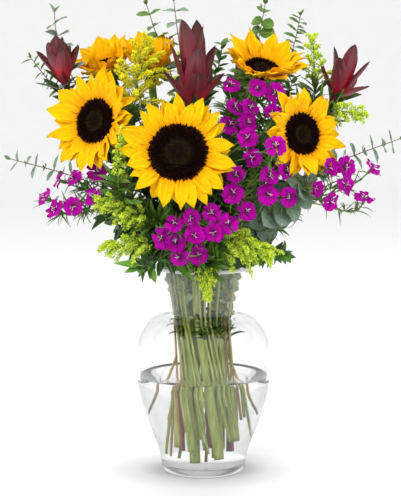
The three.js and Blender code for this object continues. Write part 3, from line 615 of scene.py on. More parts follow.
@dataclass(frozen=True)
class BladeFinish(Finish):
    """A petal, bract or leaf: colours from root to tip, with veins and mottling."""

    stops: Stops = ()
    shade: Colour = (0.7, 0.7, 0.7)
    rib: Colour = (1, 1, 1)
    rib_share: float = 0.0
    veins: float = 24.0
    slant: float = 0.0
    vein_depth: float = 0.25
    mottle: float = 0.25
    relief: float = 0.12
    sheen: float = 0.0
    glow: float = 0.0
    gloss: float = 0.3
    grain: float = 3.5
    drift: float = 0.25

    def mix(self) -> bpy.types.Material:
        """Makes the material.

        Returns:
            The material.
        """
        recipe = Recipe(self.name, self.roughness)
        along, across, tint = (recipe.mark(name) for name in ("along", "across", "tint"))
        grain = recipe.grain(self.grain)
        away = recipe.sum("ABSOLUTE", across)
        drift = recipe.sum("MULTIPLY", recipe.sum("SUBTRACT", grain, 0.5), self.drift)
        colour = recipe.ramp(recipe.sum("ADD", along, drift), self.stops)
        lane = recipe.sum("ADD", recipe.sum("MULTIPLY", away if self.slant else across, self.veins), drift)
        lane = recipe.sum("ADD", lane, recipe.sum("MULTIPLY", along, -self.slant))
        vein = recipe.sum("MULTIPLY", recipe.sum("ADD", recipe.sum("SINE", lane), 1.0), 0.5)
        mottle = recipe.sum("MULTIPLY", recipe.sum("POWER", tint, 1.6), self.mottle * 2)
        for share in (recipe.sum("MULTIPLY", vein, self.vein_depth), mottle):
            colour = recipe.mix(Blend.DARKEN, share, colour, (*self.shade, 1))
        dapple = recipe.ramp(grain, ((0.35, (0.78, 0.78, 0.78)), (0.62, (1, 1, 1))))
        colour = recipe.mix(Blend.DARKEN, self.mottle, colour, dapple)
        height = recipe.sum("ADD", vein, grain)
        if self.rib_share:
            rib = recipe.ramp(away, ((0.0, (1, 1, 1)), (0.12, (0, 0, 0))))
            share = recipe.sum("MULTIPLY", rib, self.rib_share)
            colour = recipe.mix(Blend.PLAIN, share, colour, (*self.rib, 1))
            height = recipe.sum("SUBTRACT", height, rib)
        return recipe.finish(
            colour, height, self.relief, Sheen_Weight=self.sheen, Subsurface_Weight=self.glow,
            Subsurface_Scale=2 * MM, Specular_IOR_Level=self.gloss,
        )


@dataclass(frozen=True)
class StalkFinish(Finish):
    """A stem: two greens or browns in long streaks, with fine furrows."""

    dark: Colour = (0.1, 0.2, 0.04)
    light: Colour = (0.3, 0.42, 0.12)
    tip: Colour = (0.3, 0.42, 0.12)
    relief: float = 0.25

    def mix(self) -> bpy.types.Material:
        """Makes the material.

        Returns:
            The material.
        """
        recipe = Recipe(self.name, self.roughness)
        streaks = recipe.grain(3.0, 4.0, (1, 1, 0.12))
        spots = recipe.grain(1.1, 2.0)
        colour = recipe.ramp(streaks, ((0.32, self.dark), (0.66, self.light)))
        share = recipe.sum("POWER", recipe.mark("along"), 2.0)
        colour = recipe.mix(Blend.PLAIN, share, colour, (*self.tip, 1))
        dapple = recipe.ramp(spots, ((0.35, (0.7, 0.72, 0.66)), (0.6, (1, 1, 1))))
        colour = recipe.mix(Blend.DARKEN, 0.5, colour, dapple)
        return recipe.finish(colour, recipe.sum("ADD", streaks, spots), self.relief)


@dataclass(frozen=True)
class CrumbFinish(Finish):
    """Crowded small florets or seeds: a colour range by tint, lighter or darker to the tip."""

    stops: Stops = ()
    root: Colour = (0.5, 0.5, 0.5)
    gloss: float = 0.25
    relief: float = 0.2

    def mix(self) -> bpy.types.Material:
        """Makes the material.

        Returns:
            The material.
        """
        recipe = Recipe(self.name, self.roughness)
        grain = recipe.grain(0.9, 2.0)
        shift = recipe.sum("MULTIPLY", recipe.sum("SUBTRACT", grain, 0.5), 0.3)
        colour = recipe.ramp(recipe.sum("ADD", recipe.mark("tint"), shift), self.stops)
        low = recipe.ramp(recipe.mark("along"), ((0.0, self.root), (0.75, (1, 1, 1))))
        colour = recipe.mix(Blend.DARKEN, 1.0, colour, low)
        return recipe.finish(colour, grain, self.relief, Specular_IOR_Level=self.gloss)


@dataclass(frozen=True)
class ClearFinish(Finish):
    """Clear glass or water, with very faint unevenness."""

    colour: Colour = (1, 1, 1)
    bend: float = 1.45
    relief: float = 0.02
    clearness: float = 1.0

    def mix(self) -> bpy.types.Material:
        """Makes the material.

        Returns:
            The material.
        """
        recipe = Recipe(self.name, self.roughness)
        wash = recipe.grain(40.0, 1.0)
        near = tuple(0.985 * c for c in self.colour)
        colour = recipe.ramp(wash, ((0.3, near), (0.7, self.colour)))
        return recipe.finish(colour, wash, self.relief, Transmission_Weight=self.clearness, IOR=self.bend)


PETAL = BladeFinish(
    "golden petal", 0.6,
    stops=((0.0, (0.80, 0.26, 0.0)), (0.12, (0.96, 0.39, 0.0)), (0.4, (1.0, 0.53, 0.0)),
           (1.0, (1.0, 0.63, 0.0))),
    shade=(0.9, 0.66, 0.2), veins=26.0, vein_depth=0.35, mottle=0.16, relief=0.3, glow=0.12, gloss=0.12,
)
SEED = CrumbFinish(
    "dark seed floret", 0.8,
    stops=((0.0, (0.075, 0.062, 0.018)), (0.3, (0.032, 0.020, 0.007)), (0.6, (0.008, 0.002, 0.002)),
           (0.85, (0.012, 0.003, 0.002)), (1.0, (0.035, 0.010, 0.003))),
    root=(0.2, 0.15, 0.15), gloss=0.06,
)
SEPAL = BladeFinish(
    "green sepal", 0.6,
    ((0.0, (0.09, 0.16, 0.02)), (0.6, (0.14, 0.26, 0.04)), (1.0, (0.22, 0.32, 0.06))),
    (0.6, 0.65, 0.5), veins=14.0, relief=0.15,
)
GREEN_STALK = StalkFinish("thick green stem", 0.5, (0.34, 0.46, 0.07), (0.68, 0.76, 0.24), (0.16, 0.28, 0.05))
REED = StalkFinish("thin green stem", 0.5, (0.26, 0.36, 0.05), (0.56, 0.62, 0.16), (0.14, 0.26, 0.04))
RED_STALK = StalkFinish("reddish stem", 0.5, (0.26, 0.06, 0.05), (0.55, 0.20, 0.17), (0.14, 0.03, 0.03))
BROWN_STALK = StalkFinish("brown twig", 0.5, (0.34, 0.17, 0.05), (0.66, 0.40, 0.16), (0.16, 0.09, 0.05))
BRACT = BladeFinish(
    "dark red bract", 0.42,
    stops=((0.0, (0.66, 0.004, 0.02)), (0.3, (0.50, 0.006, 0.03)), (0.5, (0.25, 0.014, 0.036)),
           (0.8, (0.15, 0.020, 0.032)), (1.0, (0.05, 0.012, 0.015))),
    shade=(0.5, 0.5, 0.45), rib=(0.16, 0.075, 0.03), rib_share=0.6, veins=14.0, vein_depth=0.25, mottle=0.3,
    relief=0.1, sheen=0.05, gloss=0.4,
)
MAGENTA = BladeFinish(
    "magenta floret petal", 0.6,
    stops=((0.0, (0.10, 0.0, 0.07)), (0.2, (0.28, 0.0, 0.20)), (0.5, (0.42, 0.0, 0.31)),
           (1.0, (0.48, 0.0, 0.37))),
    shade=(0.6, 0.4, 0.62), veins=16.0, vein_depth=0.3, mottle=0.3, relief=0.15, glow=0.05, gloss=0.08,
)
STAMEN = CrumbFinish(
    "pale stamen", 0.6, ((0.0, (0.70, 0.50, 0.66)), (1.0, (0.85, 0.78, 0.80))), (0.8, 0.6, 0.8),
)
PLUME = CrumbFinish(
    "yellow plume floret", 0.7,
    ((0.0, (0.36, 0.54, 0.04)), (0.4, (0.60, 0.76, 0.06)), (1.0, (0.92, 0.94, 0.12))),
    (0.68, 0.86, 0.45), 0.12,
)
GOLD_PLUME = CrumbFinish(
    "golden plume floret", 0.7,
    ((0.0, (0.52, 0.56, 0.03)), (0.4, (0.88, 0.76, 0.03)), (1.0, (1.0, 0.78, 0.02))),
    (0.7, 0.82, 0.4), 0.12,
)
SILVER_LEAF = BladeFinish(
    "grey-green leaf", 0.55,
    ((0.0, (0.17, 0.24, 0.13)), (0.5, (0.20, 0.30, 0.21)), (1.0, (0.25, 0.36, 0.27))),
    (0.62, 0.7, 0.66), (0.36, 0.42, 0.28), 0.6, veins=7.0, slant=30.0, vein_depth=0.3, sheen=0.1,
)
FRESH_LEAF = BladeFinish(
    "fresh green leaf", 0.45,
    ((0.0, (0.08, 0.16, 0.02)), (0.5, (0.10, 0.21, 0.03)), (1.0, (0.16, 0.28, 0.05))),
    (0.5, 0.6, 0.45), (0.22, 0.33, 0.08), 0.6, veins=8.0, slant=34.0, vein_depth=0.35,
)
# painted light: the leaves in the neck have a leaf green that is painted far paler than the other leaves, to
# make up for the shade that the bunch above throws on them
PAINTED_LIGHT_NECK_LEAF = BladeFinish(
    "neck leaf with painted light", 0.6,
    ((0.0, (0.50, 0.64, 0.30)), (0.5, (0.70, 0.82, 0.48)), (1.0, (0.86, 0.93, 0.68))),
    (0.32, 0.46, 0.28), (0.55, 0.62, 0.38), 0.5, veins=7.0, slant=30.0, vein_depth=0.3, mottle=0.5, glow=0.1,
)
BRIGHT_LEAF = BladeFinish(
    "bright green leaf", 0.45,
    ((0.0, (0.10, 0.24, 0.03)), (0.5, (0.13, 0.32, 0.035)), (1.0, (0.20, 0.40, 0.06))),
    (0.5, 0.6, 0.45), (0.28, 0.45, 0.12), 0.6, veins=9.0, slant=34.0, vein_depth=0.35,
)
NEEDLE = BladeFinish(
    "narrow green leaf", 0.5,
    ((0.0, (0.14, 0.24, 0.05)), (0.4, (0.08, 0.18, 0.03)), (1.0, (0.20, 0.30, 0.06))),
    (0.45, 0.55, 0.4), veins=6.0, vein_depth=0.3, mottle=0.4,
)
DARK_LEAF = BladeFinish(
    "dark green leaf", 0.4,
    ((0.0, (0.04, 0.09, 0.015)), (0.5, (0.035, 0.10, 0.018)), (1.0, (0.06, 0.14, 0.03))),
    (0.5, 0.6, 0.45), (0.14, 0.24, 0.06), 0.6, veins=9.0, slant=36.0, vein_depth=0.4,
)
GLASS = ClearFinish("clear glass", 0.0, (0.95, 0.957, 0.957))
THICK_GLASS = ClearFinish("thick glass edge", 0.2, (0.92, 0.94, 0.94), clearness=0.4)
WATER = ClearFinish("still water", 0.0, (0.985, 0.99, 0.985), 1.33)


class Piece:
    """Gathers patches of skin for one visible piece and sets it in the frame."""

    def __init__(self, name: str) -> None:
        """Starts an empty piece.

        Args:
            name: Its name.
        """
        self.name = name
        self.patches: list[Patch] = []
        self.finishes: list[Finish] = []

    def add(self, patch: Patch, finish: Finish) -> None:
        """Takes in a patch with its finish."""
        self.patches.append(patch)
        self.finishes.append(finish)

    def add_one(self, shape: Patch, finish: Finish, place: Array, way: Array, rng: Random) -> None:
        """Takes in one copy of a small shape, which stands at a place and points along a way."""
        self.add(scatter(shape, place[None], way[None], np.ones(1), rng.uniform(0, 1, 1), rng), finish)

    def place(self, slot: str, *nodes: str) -> bpy.types.Object:
        """Makes the mesh object, which rides on the part and stands for its CAD nodes.

        Args:
            slot: The record's material slot; it is not used.
            nodes: The CAD nodes that it replaces.

        Returns:
            The object.
        """
        kinds = list(dict.fromkeys(self.finishes))
        starts = np.cumsum([0, *(len(patch.points) for patch in self.patches)])
        corners = np.concatenate([patch.faces + start for patch, start in zip(self.patches, starts)])
        pairs = zip(self.patches, self.finishes)
        looks = [np.full(len(patch.faces), kinds.index(finish)) for patch, finish in pairs]
        points = np.concatenate([patch.points for patch in self.patches]) * MM
        marks = np.concatenate([patch.marks for patch in self.patches])
        mesh = bpy.data.meshes.new(self.name)
        mesh.vertices.add(len(points))
        mesh.vertices.foreach_set("co", points.astype(np.float32).ravel())
        mesh.loops.add(corners.size)
        mesh.loops.foreach_set("vertex_index", corners.astype(np.int32).ravel())
        mesh.polygons.add(len(corners))
        mesh.polygons.foreach_set("loop_start", np.arange(0, corners.size, 4, dtype=np.int32))
        mesh.polygons.foreach_set("material_index", np.concatenate(looks).astype(np.int32))
        mesh.update(calc_edges=True)
        mesh.shade_smooth()
        for name, values in zip(("along", "across", "tint"), marks.T):
            mesh.attributes.new(name, "FLOAT", "POINT").data.foreach_set("value", values.astype(np.float32))
        for finish in kinds:
            mesh.materials.append(finish.material())
        piece = bpy.data.objects.new(self.name, mesh)
        bpy.context.scene.collection.objects.link(piece)
        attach(piece, "root")
        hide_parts(*nodes)
        log.info("%s: %d faces", self.name, len(corners))
        return piece


# ---- vase and water ------------------------------------------------------------------------------


@dataclass(frozen=True)
class Vase:
    """The glass urn and the water in it; each outline gives radius and height."""

    outline: Pairs = (
        (46.1, 8), (50.6, 28), (64.4, 65), (73.2, 104), (72.4, 143), (57, 168), (40.4, 174.5), (38.7, 178.6),
        (42.4, 195), (53.5, 228),
    )
    foot: Pairs = ((0, 1.2), (30, 1.2), (36, 0.3), (38, 0.0), (40.5, 0.0), (43.4, 0.8), (45.4, 3.2))
    lip: Pairs = ((-0.3, -0.25), (-1.1, -0.02), (-2.0, -0.1), (-2.8, -0.9))  # from the top of the outline
    well: Pairs = ((-0.8, 1.6), (-4, 0.4))  # from the wall's inner face, and from the base
    meniscus: Pairs = ((0.1, 1.4), (-0.9, 0.5), (-2.6, 0))  # from the wall's inner face, and from the level
    flat: float = 30.0
    wall: float = 3.0
    base: float = 8.5
    film: float = 0.12
    water_level: float = 106.0
    leaf_gap: float = 0.8
    sides: int = 128

    def skin(self, depth: float) -> Array:
        """Points down the wall.

        Args:
            depth: How far they lie under its outer face.

        Returns:
            Radius and height of each point.
        """
        line = smooth_line(np.array(self.outline, float), 8)
        way = unit(np.gradient(line, axis=0))
        return line + np.stack([-way[:, 1], way[:, 0]], -1) * depth

    def clear(self, patch: Patch, size: int) -> Patch:
        """Leaves out the blades that would touch or cross the glass.

        Args:
            patch: Blades of one form.
            size: Points of one blade.

        Returns:
            The other blades.
        """
        height = patch.points[:, 2]
        far = np.linalg.norm(patch.points[:, :2], axis=1)
        inner, outer = (np.interp(height, *self.skin(depth).T[::-1]) for depth in (self.wall, 0))
        low = height < self.outline[-1][1] + 1
        inside = (low & (far < outer + self.leaf_gap)).reshape(-1, size).any(1)
        outside = (low & (far > inner - self.leaf_gap)).reshape(-1, size).any(1)
        kept = ~(inside & outside)
        rows = np.repeat(kept, size)
        faces = patch.faces.reshape(len(kept), -1, 4)[0]
        return Patch(patch.points[rows], repeat_faces(faces, int(kept.sum()), size), patch.marks[rows])

    def build(self) -> None:
        """Makes the glass, with frosted rings at its foot and lip, and the water."""
        outer, inner = self.skin(0), self.skin(self.wall)
        inside = inner[inner[:, 1] > self.base + 3]
        floor = [(inside[0][0] + r, self.base + h) for r, h in self.well]
        floor += [(self.flat, self.base), (0, self.base)]
        lip = [(outer[-1][0] + r, outer[-1][1] + h) for r, h in self.lip]
        profile = [*self.foot, *outer[:-1], *lip, *inside[-2::-1], *floor]
        glass = Piece("glass_vase")
        glass.add(turned(profile, self.sides), GLASS)
        skin = glass.place("clear_glass", "vase")
        skin.visible_shadow = False
        skin.data.materials.append(THICK_GLASS.material())
        high = len(self.foot) + len(outer) - 2
        looks = np.zeros((len(profile) - 1, self.sides), np.int32)
        looks[[*range(len(self.foot) - 1), *range(high, high + 1 + len(lip))]] = 1
        skin.data.polygons.foreach_set("material_index", looks.ravel())
        wet = self.skin(self.wall - self.film)
        wet = wet[(wet[:, 1] > self.base + 3) & (wet[:, 1] < self.water_level - 2)]
        edge = np.interp(self.water_level, *inner.T[::-1])
        bed = self.base - 0.1
        floor = [(0, bed), (self.flat, bed), *((wet[0][0] + r, bed + h) for r, h in self.well[::-1])]
        top = [(edge + r, self.water_level + h) for r, h in self.meniscus]
        pool = Piece("vase_water")
        pool.add(turned([*floor, *wet, *top, (0, self.water_level)], self.sides), WATER)
        pool.place("water", "water").visible_shadow = False


# ---- the bundle of stems -------------------------------------------------------------------------


@dataclass
class Stem:
    """One stem: where its head is, which way it arrives there, and its size."""

    owner: str
    end: Array
    arrive: Array
    radius: float
    taper: float
    beyond: tuple[Array, ...] = ()
    nudge: Point = (0, 0, 0)
    lean: Array = field(default_factory=lambda: np.zeros(2))
    neck: Array = field(default_factory=lambda: np.zeros(2))
    foot: float = 12.0


@dataclass
class Bundle:
    """All the stems, packed side by side in the neck, spread above it and twisted below it."""

    vase: Vase
    neck_height: float = 174.0
    neck_limit: float = 33.6
    rim_height: float = 238.0
    rim_spread: float = 1.34
    least_rise: float = 14.0
    foot_spread: float = 1.2
    foot_flare: float = 0.2
    foot_twist: float = 0.95
    foot_rise: float = 18.0
    floor: float = 8.5
    clearance: float = 3.5
    cuts: int = 5
    thick_cut: float = 5.0
    thin_cut: float = 13.0
    thin_radius: float = 1.9
    slimness: float = 0.7
    air: float = 1.1
    rounds: int = 900
    pull: float = 0.36
    taper_from: float = 150.0
    joint_step: float = 42.0
    joint_half: float = 2.2
    stems: dict[str, Stem] = field(default_factory=dict)

    def add(self, stem: Stem) -> None:
        """Takes in a stem."""
        self.stems[stem.owner] = stem

    def pack(self) -> None:
        """Finds each stem its place in the neck, on the side of its head."""
        stems = list(self.stems.values())
        for stem in stems:
            stem.lean = stem.end[:2] / max(stem.end[2] - self.rim_height, self.least_rise)
        ranked = sorted(stems, key=lambda stem: np.linalg.norm(stem.lean))
        for rank, stem in enumerate(ranked):
            stem.neck = unit(stem.lean) * self.neck_limit * math.sqrt((rank + 0.5) / len(ranked))
        radii = np.array([stem.radius for stem in stems])
        necks = [list(stem.neck) for stem in stems]
        for _ in range(self.rounds):
            self.push_apart(necks, radii)
            for neck, radius in zip(necks, radii):
                far = math.hypot(*neck)
                if far > self.neck_limit - radius:
                    neck[0] *= (self.neck_limit - radius) / far
                    neck[1] *= (self.neck_limit - radius) / far
        for i, (stem, neck) in enumerate(zip(stems, necks)):
            stem.neck = np.array(neck)
            cut = i * 7 % self.cuts * (self.thick_cut if stem.radius > self.thin_radius else self.thin_cut)
            stem.foot = self.floor + self.clearance + cut + self.foot_rise * self.outwards(stem) ** 2

    def push_apart(self, necks: list[list[float]], radii: Array) -> None:
        """Moves the stems that stand too close away from each other.

        Args:
            necks: Where each stem stands in the neck, which this changes.
            radii: The radius of each stem.
        """
        for i, one in enumerate(necks):
            for j in range(i + 1, len(necks)):
                other = necks[j]
                dx, dy = other[0] - one[0], other[1] - one[1]
                gap = math.hypot(dx, dy)
                short = radii[i] + radii[j] + self.air - gap
                if short > 0:
                    push = short * 0.5 / gap
                    one[0] -= dx * push
                    one[1] -= dy * push
                    other[0] += dx * push
                    other[1] += dy * push

    def outwards(self, stem: Stem) -> float:
        """How far out a stem stands in the neck: 0 in the middle, 1 at the edge."""
        return float(np.linalg.norm(stem.neck)) / self.neck_limit

    def point(self, stem: Stem, height: float) -> Array:
        """Where a stem is in the vase.

        Args:
            stem: The stem.
            height: The height that is asked for.

        Returns:
            The point.
        """
        if height >= self.neck_height:
            share = (height - self.neck_height) / (self.rim_height - self.neck_height)
            return np.array([*stem.neck * (1 + (self.rim_spread - 1) * share), height])
        (x, y), c, s = stem.neck, math.cos(self.foot_twist), math.sin(self.foot_twist)
        spread = self.foot_spread + self.foot_flare * self.outwards(stem) ** 2
        foot = np.array([c * x - s * y, s * x + c * y]) * spread
        share = (self.neck_height - height) / (self.neck_height - self.floor)
        return np.array([*stem.neck * (1 - share) + foot * share, height])

    def low_part(self, owner: str, start: float, end: float, count: int) -> Array:
        """Points of a stem between two heights in the vase."""
        return np.array([self.point(self.stems[owner], height) for height in np.linspace(start, end, count)])

    def free_part(self, owner: str, steps: int = 18) -> Array:
        """The part of a stem from the rim to its head.

        Args:
            owner: Whose stem it is.
            steps: Number of steps.

        Returns:
            Its points.
        """
        stem = self.stems[owner]
        rim, neck = self.point(stem, self.rim_height), self.point(stem, self.neck_height)
        reach = np.linalg.norm(rim - stem.end) * self.pull
        first = rim + unit(rim - neck) * reach + stem.nudge
        second = stem.end - stem.arrive * reach + stem.nudge
        return bezier(rim, first, second, stem.end, steps)

    def leaves(self, leafage: Leafage, line: Array, count: int, rng: Random) -> Patch:
        """Leaves along a stem, less those that would touch the glass."""
        return self.vase.clear(leafage.grow(line, count, rng), leafage.form.size)

    def stalk(self, owner: str, sides: int, ridge: float = 0.0, knots: float = 0.0) -> Patch:
        """The skin of a whole stem, from its foot to beyond its head.

        Args:
            owner: Whose stem it is.
            sides: Points round it.
            ridge: How far its ridges stand out, as a share of its radius.
            knots: How far it swells at its joints, as a share of its radius.

        Returns:
            The skin.
        """
        stem = self.stems[owner]
        low = self.low_part(owner, stem.foot, self.rim_height, 12)[:-1]
        line = smooth_line(np.vstack([low, self.free_part(owner), *stem.beyond]), 3)
        travel = np.concatenate([[0], np.cumsum(np.linalg.norm(np.diff(line, axis=0), axis=1))])
        radii = stem.radius * np.interp(travel, (0, self.taper_from, travel[-1]), (1, 1, stem.taper))
        if stem.radius <= self.thin_radius:
            radii = radii * self.slimness
        joint = np.abs((travel + stem.foot * 3) % self.joint_step - self.joint_step / 2) < self.joint_half
        return tube(line, radii * (1 + knots * joint), sides, ridge)


@dataclass(frozen=True)
class Plant:
    """What every plant has: a name, which tells its CAD node."""

    name: str
    kind: ClassVar[str] = ""

    @property
    def owner(self) -> str:
        """The CAD node."""
        return self.kind + self.name


# ---- sunflowers ----------------------------------------------------------------------------------

RAY = Blade(
    Outline.SUNFLOWER, bend=0.12, bend_spread=0.42, curl=0.4, cup=0.22, twist=0.7, sway=0.16, ripple=0.2,
    ripples=1.6, groove=0.12, thickness=0.5, rows=17, columns=11,
)
SEPAL_BLADE = Blade(
    Outline.SEPAL, bend=0.25, bend_spread=0.3, curl=0.5, cup=-0.15, twist=0.25, rows=9, columns=5,
)


@dataclass(frozen=True)
class Sunflower(Plant):
    """One sunflower: layers of petals, a seed disc, and a calyx on its stem.

    Turn, lift, cup and tilts are in degrees; heights run forwards along the head's axis.
    """

    at: Point
    turn: float
    lift: float
    disc: float
    reach: float
    petals: int
    cup: float
    stem_radius: float = 4.7
    disc_back: float = -3.6
    layers: tuple[Point, ...] = ((0.0, 0.0, 0.0), (0.5, 1.0, 0.0), (0.24, 0.65, 6.0))  # shift, step, tilt
    layer_tilt: float = 9.0
    layer_rise: float = 1.6
    petal_base: float = -1.8
    petal_length: Pair = (0.82, 1.2)
    petal_width: Pair = (0.72, 1.15)
    overlap: float = 0.60
    dome: Pairs = ((0, 0.4), (0.25, 1.0), (0.5, 3.2), (0.75, 3.0), (1.0, 0.6))
    skin_rings: tuple[float, ...] = (1.0, 0.9, 0.75, 0.6, 0.45, 0.3, 0.15, 0.0)
    crowding: float = 1.05
    open_from: float = 0.55
    bud: Pairs = ((0.7, 0), (0.85, 1.0), (0.62, 2.0), (0.0, 2.7))
    floret: Pairs = ((0.6, 0), (0.55, 1.7), (1.05, 2.6), (0.5, 2.3), (0.32, 3.3), (0.42, 3.7), (0.0, 3.9))
    floret_sides: int = 6
    floret_size: Pairs = ((0, 0.55), (0.35, 0.62), (0.6, 0.95), (1, 1.05))
    floret_tint: Pairs = (
        (0, 0.2), (0.12, 0.42), (0.26, 0.3), (0.42, 0.08), (0.56, 0.55), (0.8, 0.8), (1, 0.98),
    )
    calyx_depth: float = 0.75
    calyx: Pairs = ((0.42, 0.8), (0.68, 0.5), (0.92, 0.18), (1.0, 0.0))  # shares of its edge and depth
    sepal_rows: int = 3
    sepals: int = 13
    kind: ClassVar[str] = "sunflower_"

    @property
    def axes(self) -> Axes:
        """The way the head faces."""
        return Axes.along(facing(self.turn, self.lift))

    @property
    def centre(self) -> Array:
        """The middle of the head."""
        return np.array(self.at, float)

    def stem(self) -> Stem:
        """The stem that carries the head.

        Returns:
            The stem, which ends at the back of the head.
        """
        axis = self.axes.axis
        end = self.centre + axis * (self.disc_back - 2 - self.disc * self.calyx_depth)
        beyond = self.centre + axis * (self.disc_back - 3)
        return Stem(f"{self.owner}_calyx_stem", end, axis, self.stem_radius, 0.9, (beyond,))

    def build(self, bundle: Bundle, rng: Random) -> None:
        """Makes the three pieces of the head.

        Args:
            bundle: Holds the stem.
            rng: Sets the small differences.
        """
        self.build_petals(rng)
        self.build_disc(rng)
        self.build_calyx(bundle, rng)

    def build_petals(self, rng: Random) -> None:
        """Grows the petals, the front layers standing between the back ones.

        Args:
            rng: Sets the small differences.
        """
        axes, count = self.axes, self.petals
        piece = Piece(f"{self.owner}_petals_fine")
        for layer, (shift, step, tilt) in enumerate(self.layers):
            angle = (np.arange(count) + shift + rng.uniform(-0.13, 0.13, count)) / count * FULL_TURN
            lift = np.radians(self.cup + step * self.layer_tilt + rng.uniform(-10, 10, count) + tilt)
            out = axes.out(angle) * (self.disc - 0.5)
            roots = self.centre + out + axes.axis * (self.petal_base + self.layer_rise * step)
            length = (self.reach - self.disc + 2.5) * rng.uniform(*self.petal_length, count) - 1.2 * layer
            width = self.reach * FULL_TURN / count * self.overlap * rng.uniform(*self.petal_width, count)
            piece.add(RAY.grow(roots, *axes.splay(angle, math.pi / 2 - lift), length, width, rng), PETAL)
        piece.place("sunflower_petal", f"{self.owner}_petals")

    def build_disc(self, rng: Random) -> None:
        """Sets the seed florets in spirals on a low dome, buds inside and open ones outside.

        Args:
            rng: Sets the small differences.
        """
        axes = self.axes
        piece = Piece(f"{self.owner}_disc_fine")
        skin = [(0.0, self.disc_back), (self.disc * 0.9, self.disc_back), (self.disc, -1.5)]
        skin += [(self.disc * share, np.interp(share, *zip(*self.dome)) - 0.8) for share in self.skin_rings]
        piece.add(turned(skin, 40, axes, self.centre, 0.6), SEED)
        count = int(self.disc**2 * self.crowding)
        order = np.arange(count) + 0.5
        share = np.sqrt(order / count)
        out = axes.out(order * GOLDEN_TURN)
        height = np.interp(share, *zip(*self.dome)) - 1.0
        places = self.centre + out * (share * self.disc)[:, None] + axes.axis * height[:, None]
        ways = axes.axis + out * (share**2 * 0.75 - 0.1)[:, None] + rng.normal(0, 0.07, (count, 3))
        tints = np.interp(share, *zip(*self.floret_tint)) + rng.uniform(-0.16, 0.16, count)
        sizes = np.interp(share, *zip(*self.floret_size)) * rng.uniform(0.85, 1.15, count)
        bud, floret = turned(self.bud, self.floret_sides), turned(self.floret, self.floret_sides)
        for shape, chosen in ((bud, share < self.open_from), (floret, share >= self.open_from)):
            piece.add(scatter(shape, places[chosen], ways[chosen], sizes[chosen], tints[chosen], rng), SEED)
        self.fringe(piece, floret, rng)
        piece.place("seed_disc", f"{self.owner}_disc")

    def fringe(self, piece: Piece, floret: Patch, rng: Random) -> None:
        """Adds a ring of open florets that lean out over the petals.

        Args:
            piece: Takes them in.
            floret: One of them.
            rng: Sets the small differences.
        """
        axes, count = self.axes, int(self.disc * 4)
        out = axes.out((np.arange(count) + rng.uniform(-0.3, 0.3, count)) / count * FULL_TURN)
        places = self.centre + out * (self.disc - 0.6) + axes.axis * rng.uniform(-0.8, 0.6, count)[:, None]
        ways = out + axes.axis * rng.uniform(0.15, 0.8, count)[:, None]
        sizes = rng.uniform(0.9, 1.35, count)
        piece.add(scatter(floret, places, ways, sizes, rng.uniform(0.6, 1.0, count), rng), SEED)

    def build_calyx(self, bundle: Bundle, rng: Random) -> None:
        """Makes the green cup, its rows of sepals and the stem.

        Args:
            bundle: Holds the stem.
            rng: Sets the small differences.
        """
        axes, count = self.axes, self.sepals
        owner = f"{self.owner}_calyx_stem"
        back, depth, edge = self.disc_back - 0.4, self.disc * self.calyx_depth, self.disc + 1.5
        piece = Piece(f"{owner}_fine")
        cup = [(self.stem_radius * 0.9, back - depth - 4), (self.stem_radius * 1.15, back - depth)]
        cup += [*((edge * r, back - depth * h) for r, h in self.calyx), (edge * 0.8, back + 1.5)]
        piece.add(turned(cup, 32, axes, self.centre), SEPAL)
        for row in range(self.sepal_rows):
            angle = (np.arange(count) + row / 3 + rng.uniform(-0.2, 0.2, count)) / count * FULL_TURN
            slope = np.radians(rng.uniform(-20, 6, count) - 12 * row)
            along, face = axes.splay(angle, math.pi / 2 - slope)
            far, deep = edge * (1 - 0.2 * row) - 4, back - 2 - depth * 0.2 * row
            roots = self.centre + axes.out(angle) * far + axes.axis * deep
            length = (depth + 8) * rng.uniform(0.85, 1.1, count)
            width = self.disc * 0.36 * rng.uniform(0.9, 1.1, count)
            piece.add(SEPAL_BLADE.grow(roots, along, -face, length, width, rng), SEPAL)
        piece.add(bundle.stalk(owner, 20, 0.05), GREEN_STALK)
        piece.place("green_stem", owner)


# ---- leucadendrons -------------------------------------------------------------------------------

BRACT_BLADE = Blade(
    Outline.BRACT, bend=-0.04, bend_spread=0.22, curl=-0.15, cup=0.42, twist=0.4, sway=0.1, thickness=0.9,
    rows=17, columns=9,
)
LOW_BLADE = Blade(
    Outline.COLLAR, bend=0.3, bend_spread=0.25, cup=0.3, twist=0.3, thickness=0.7, rows=9, columns=5,
)
LOW_LEAVES = Leafage(LOW_BLADE, (22, 38), 0.24, (25, 62), (0.35, 0.97))


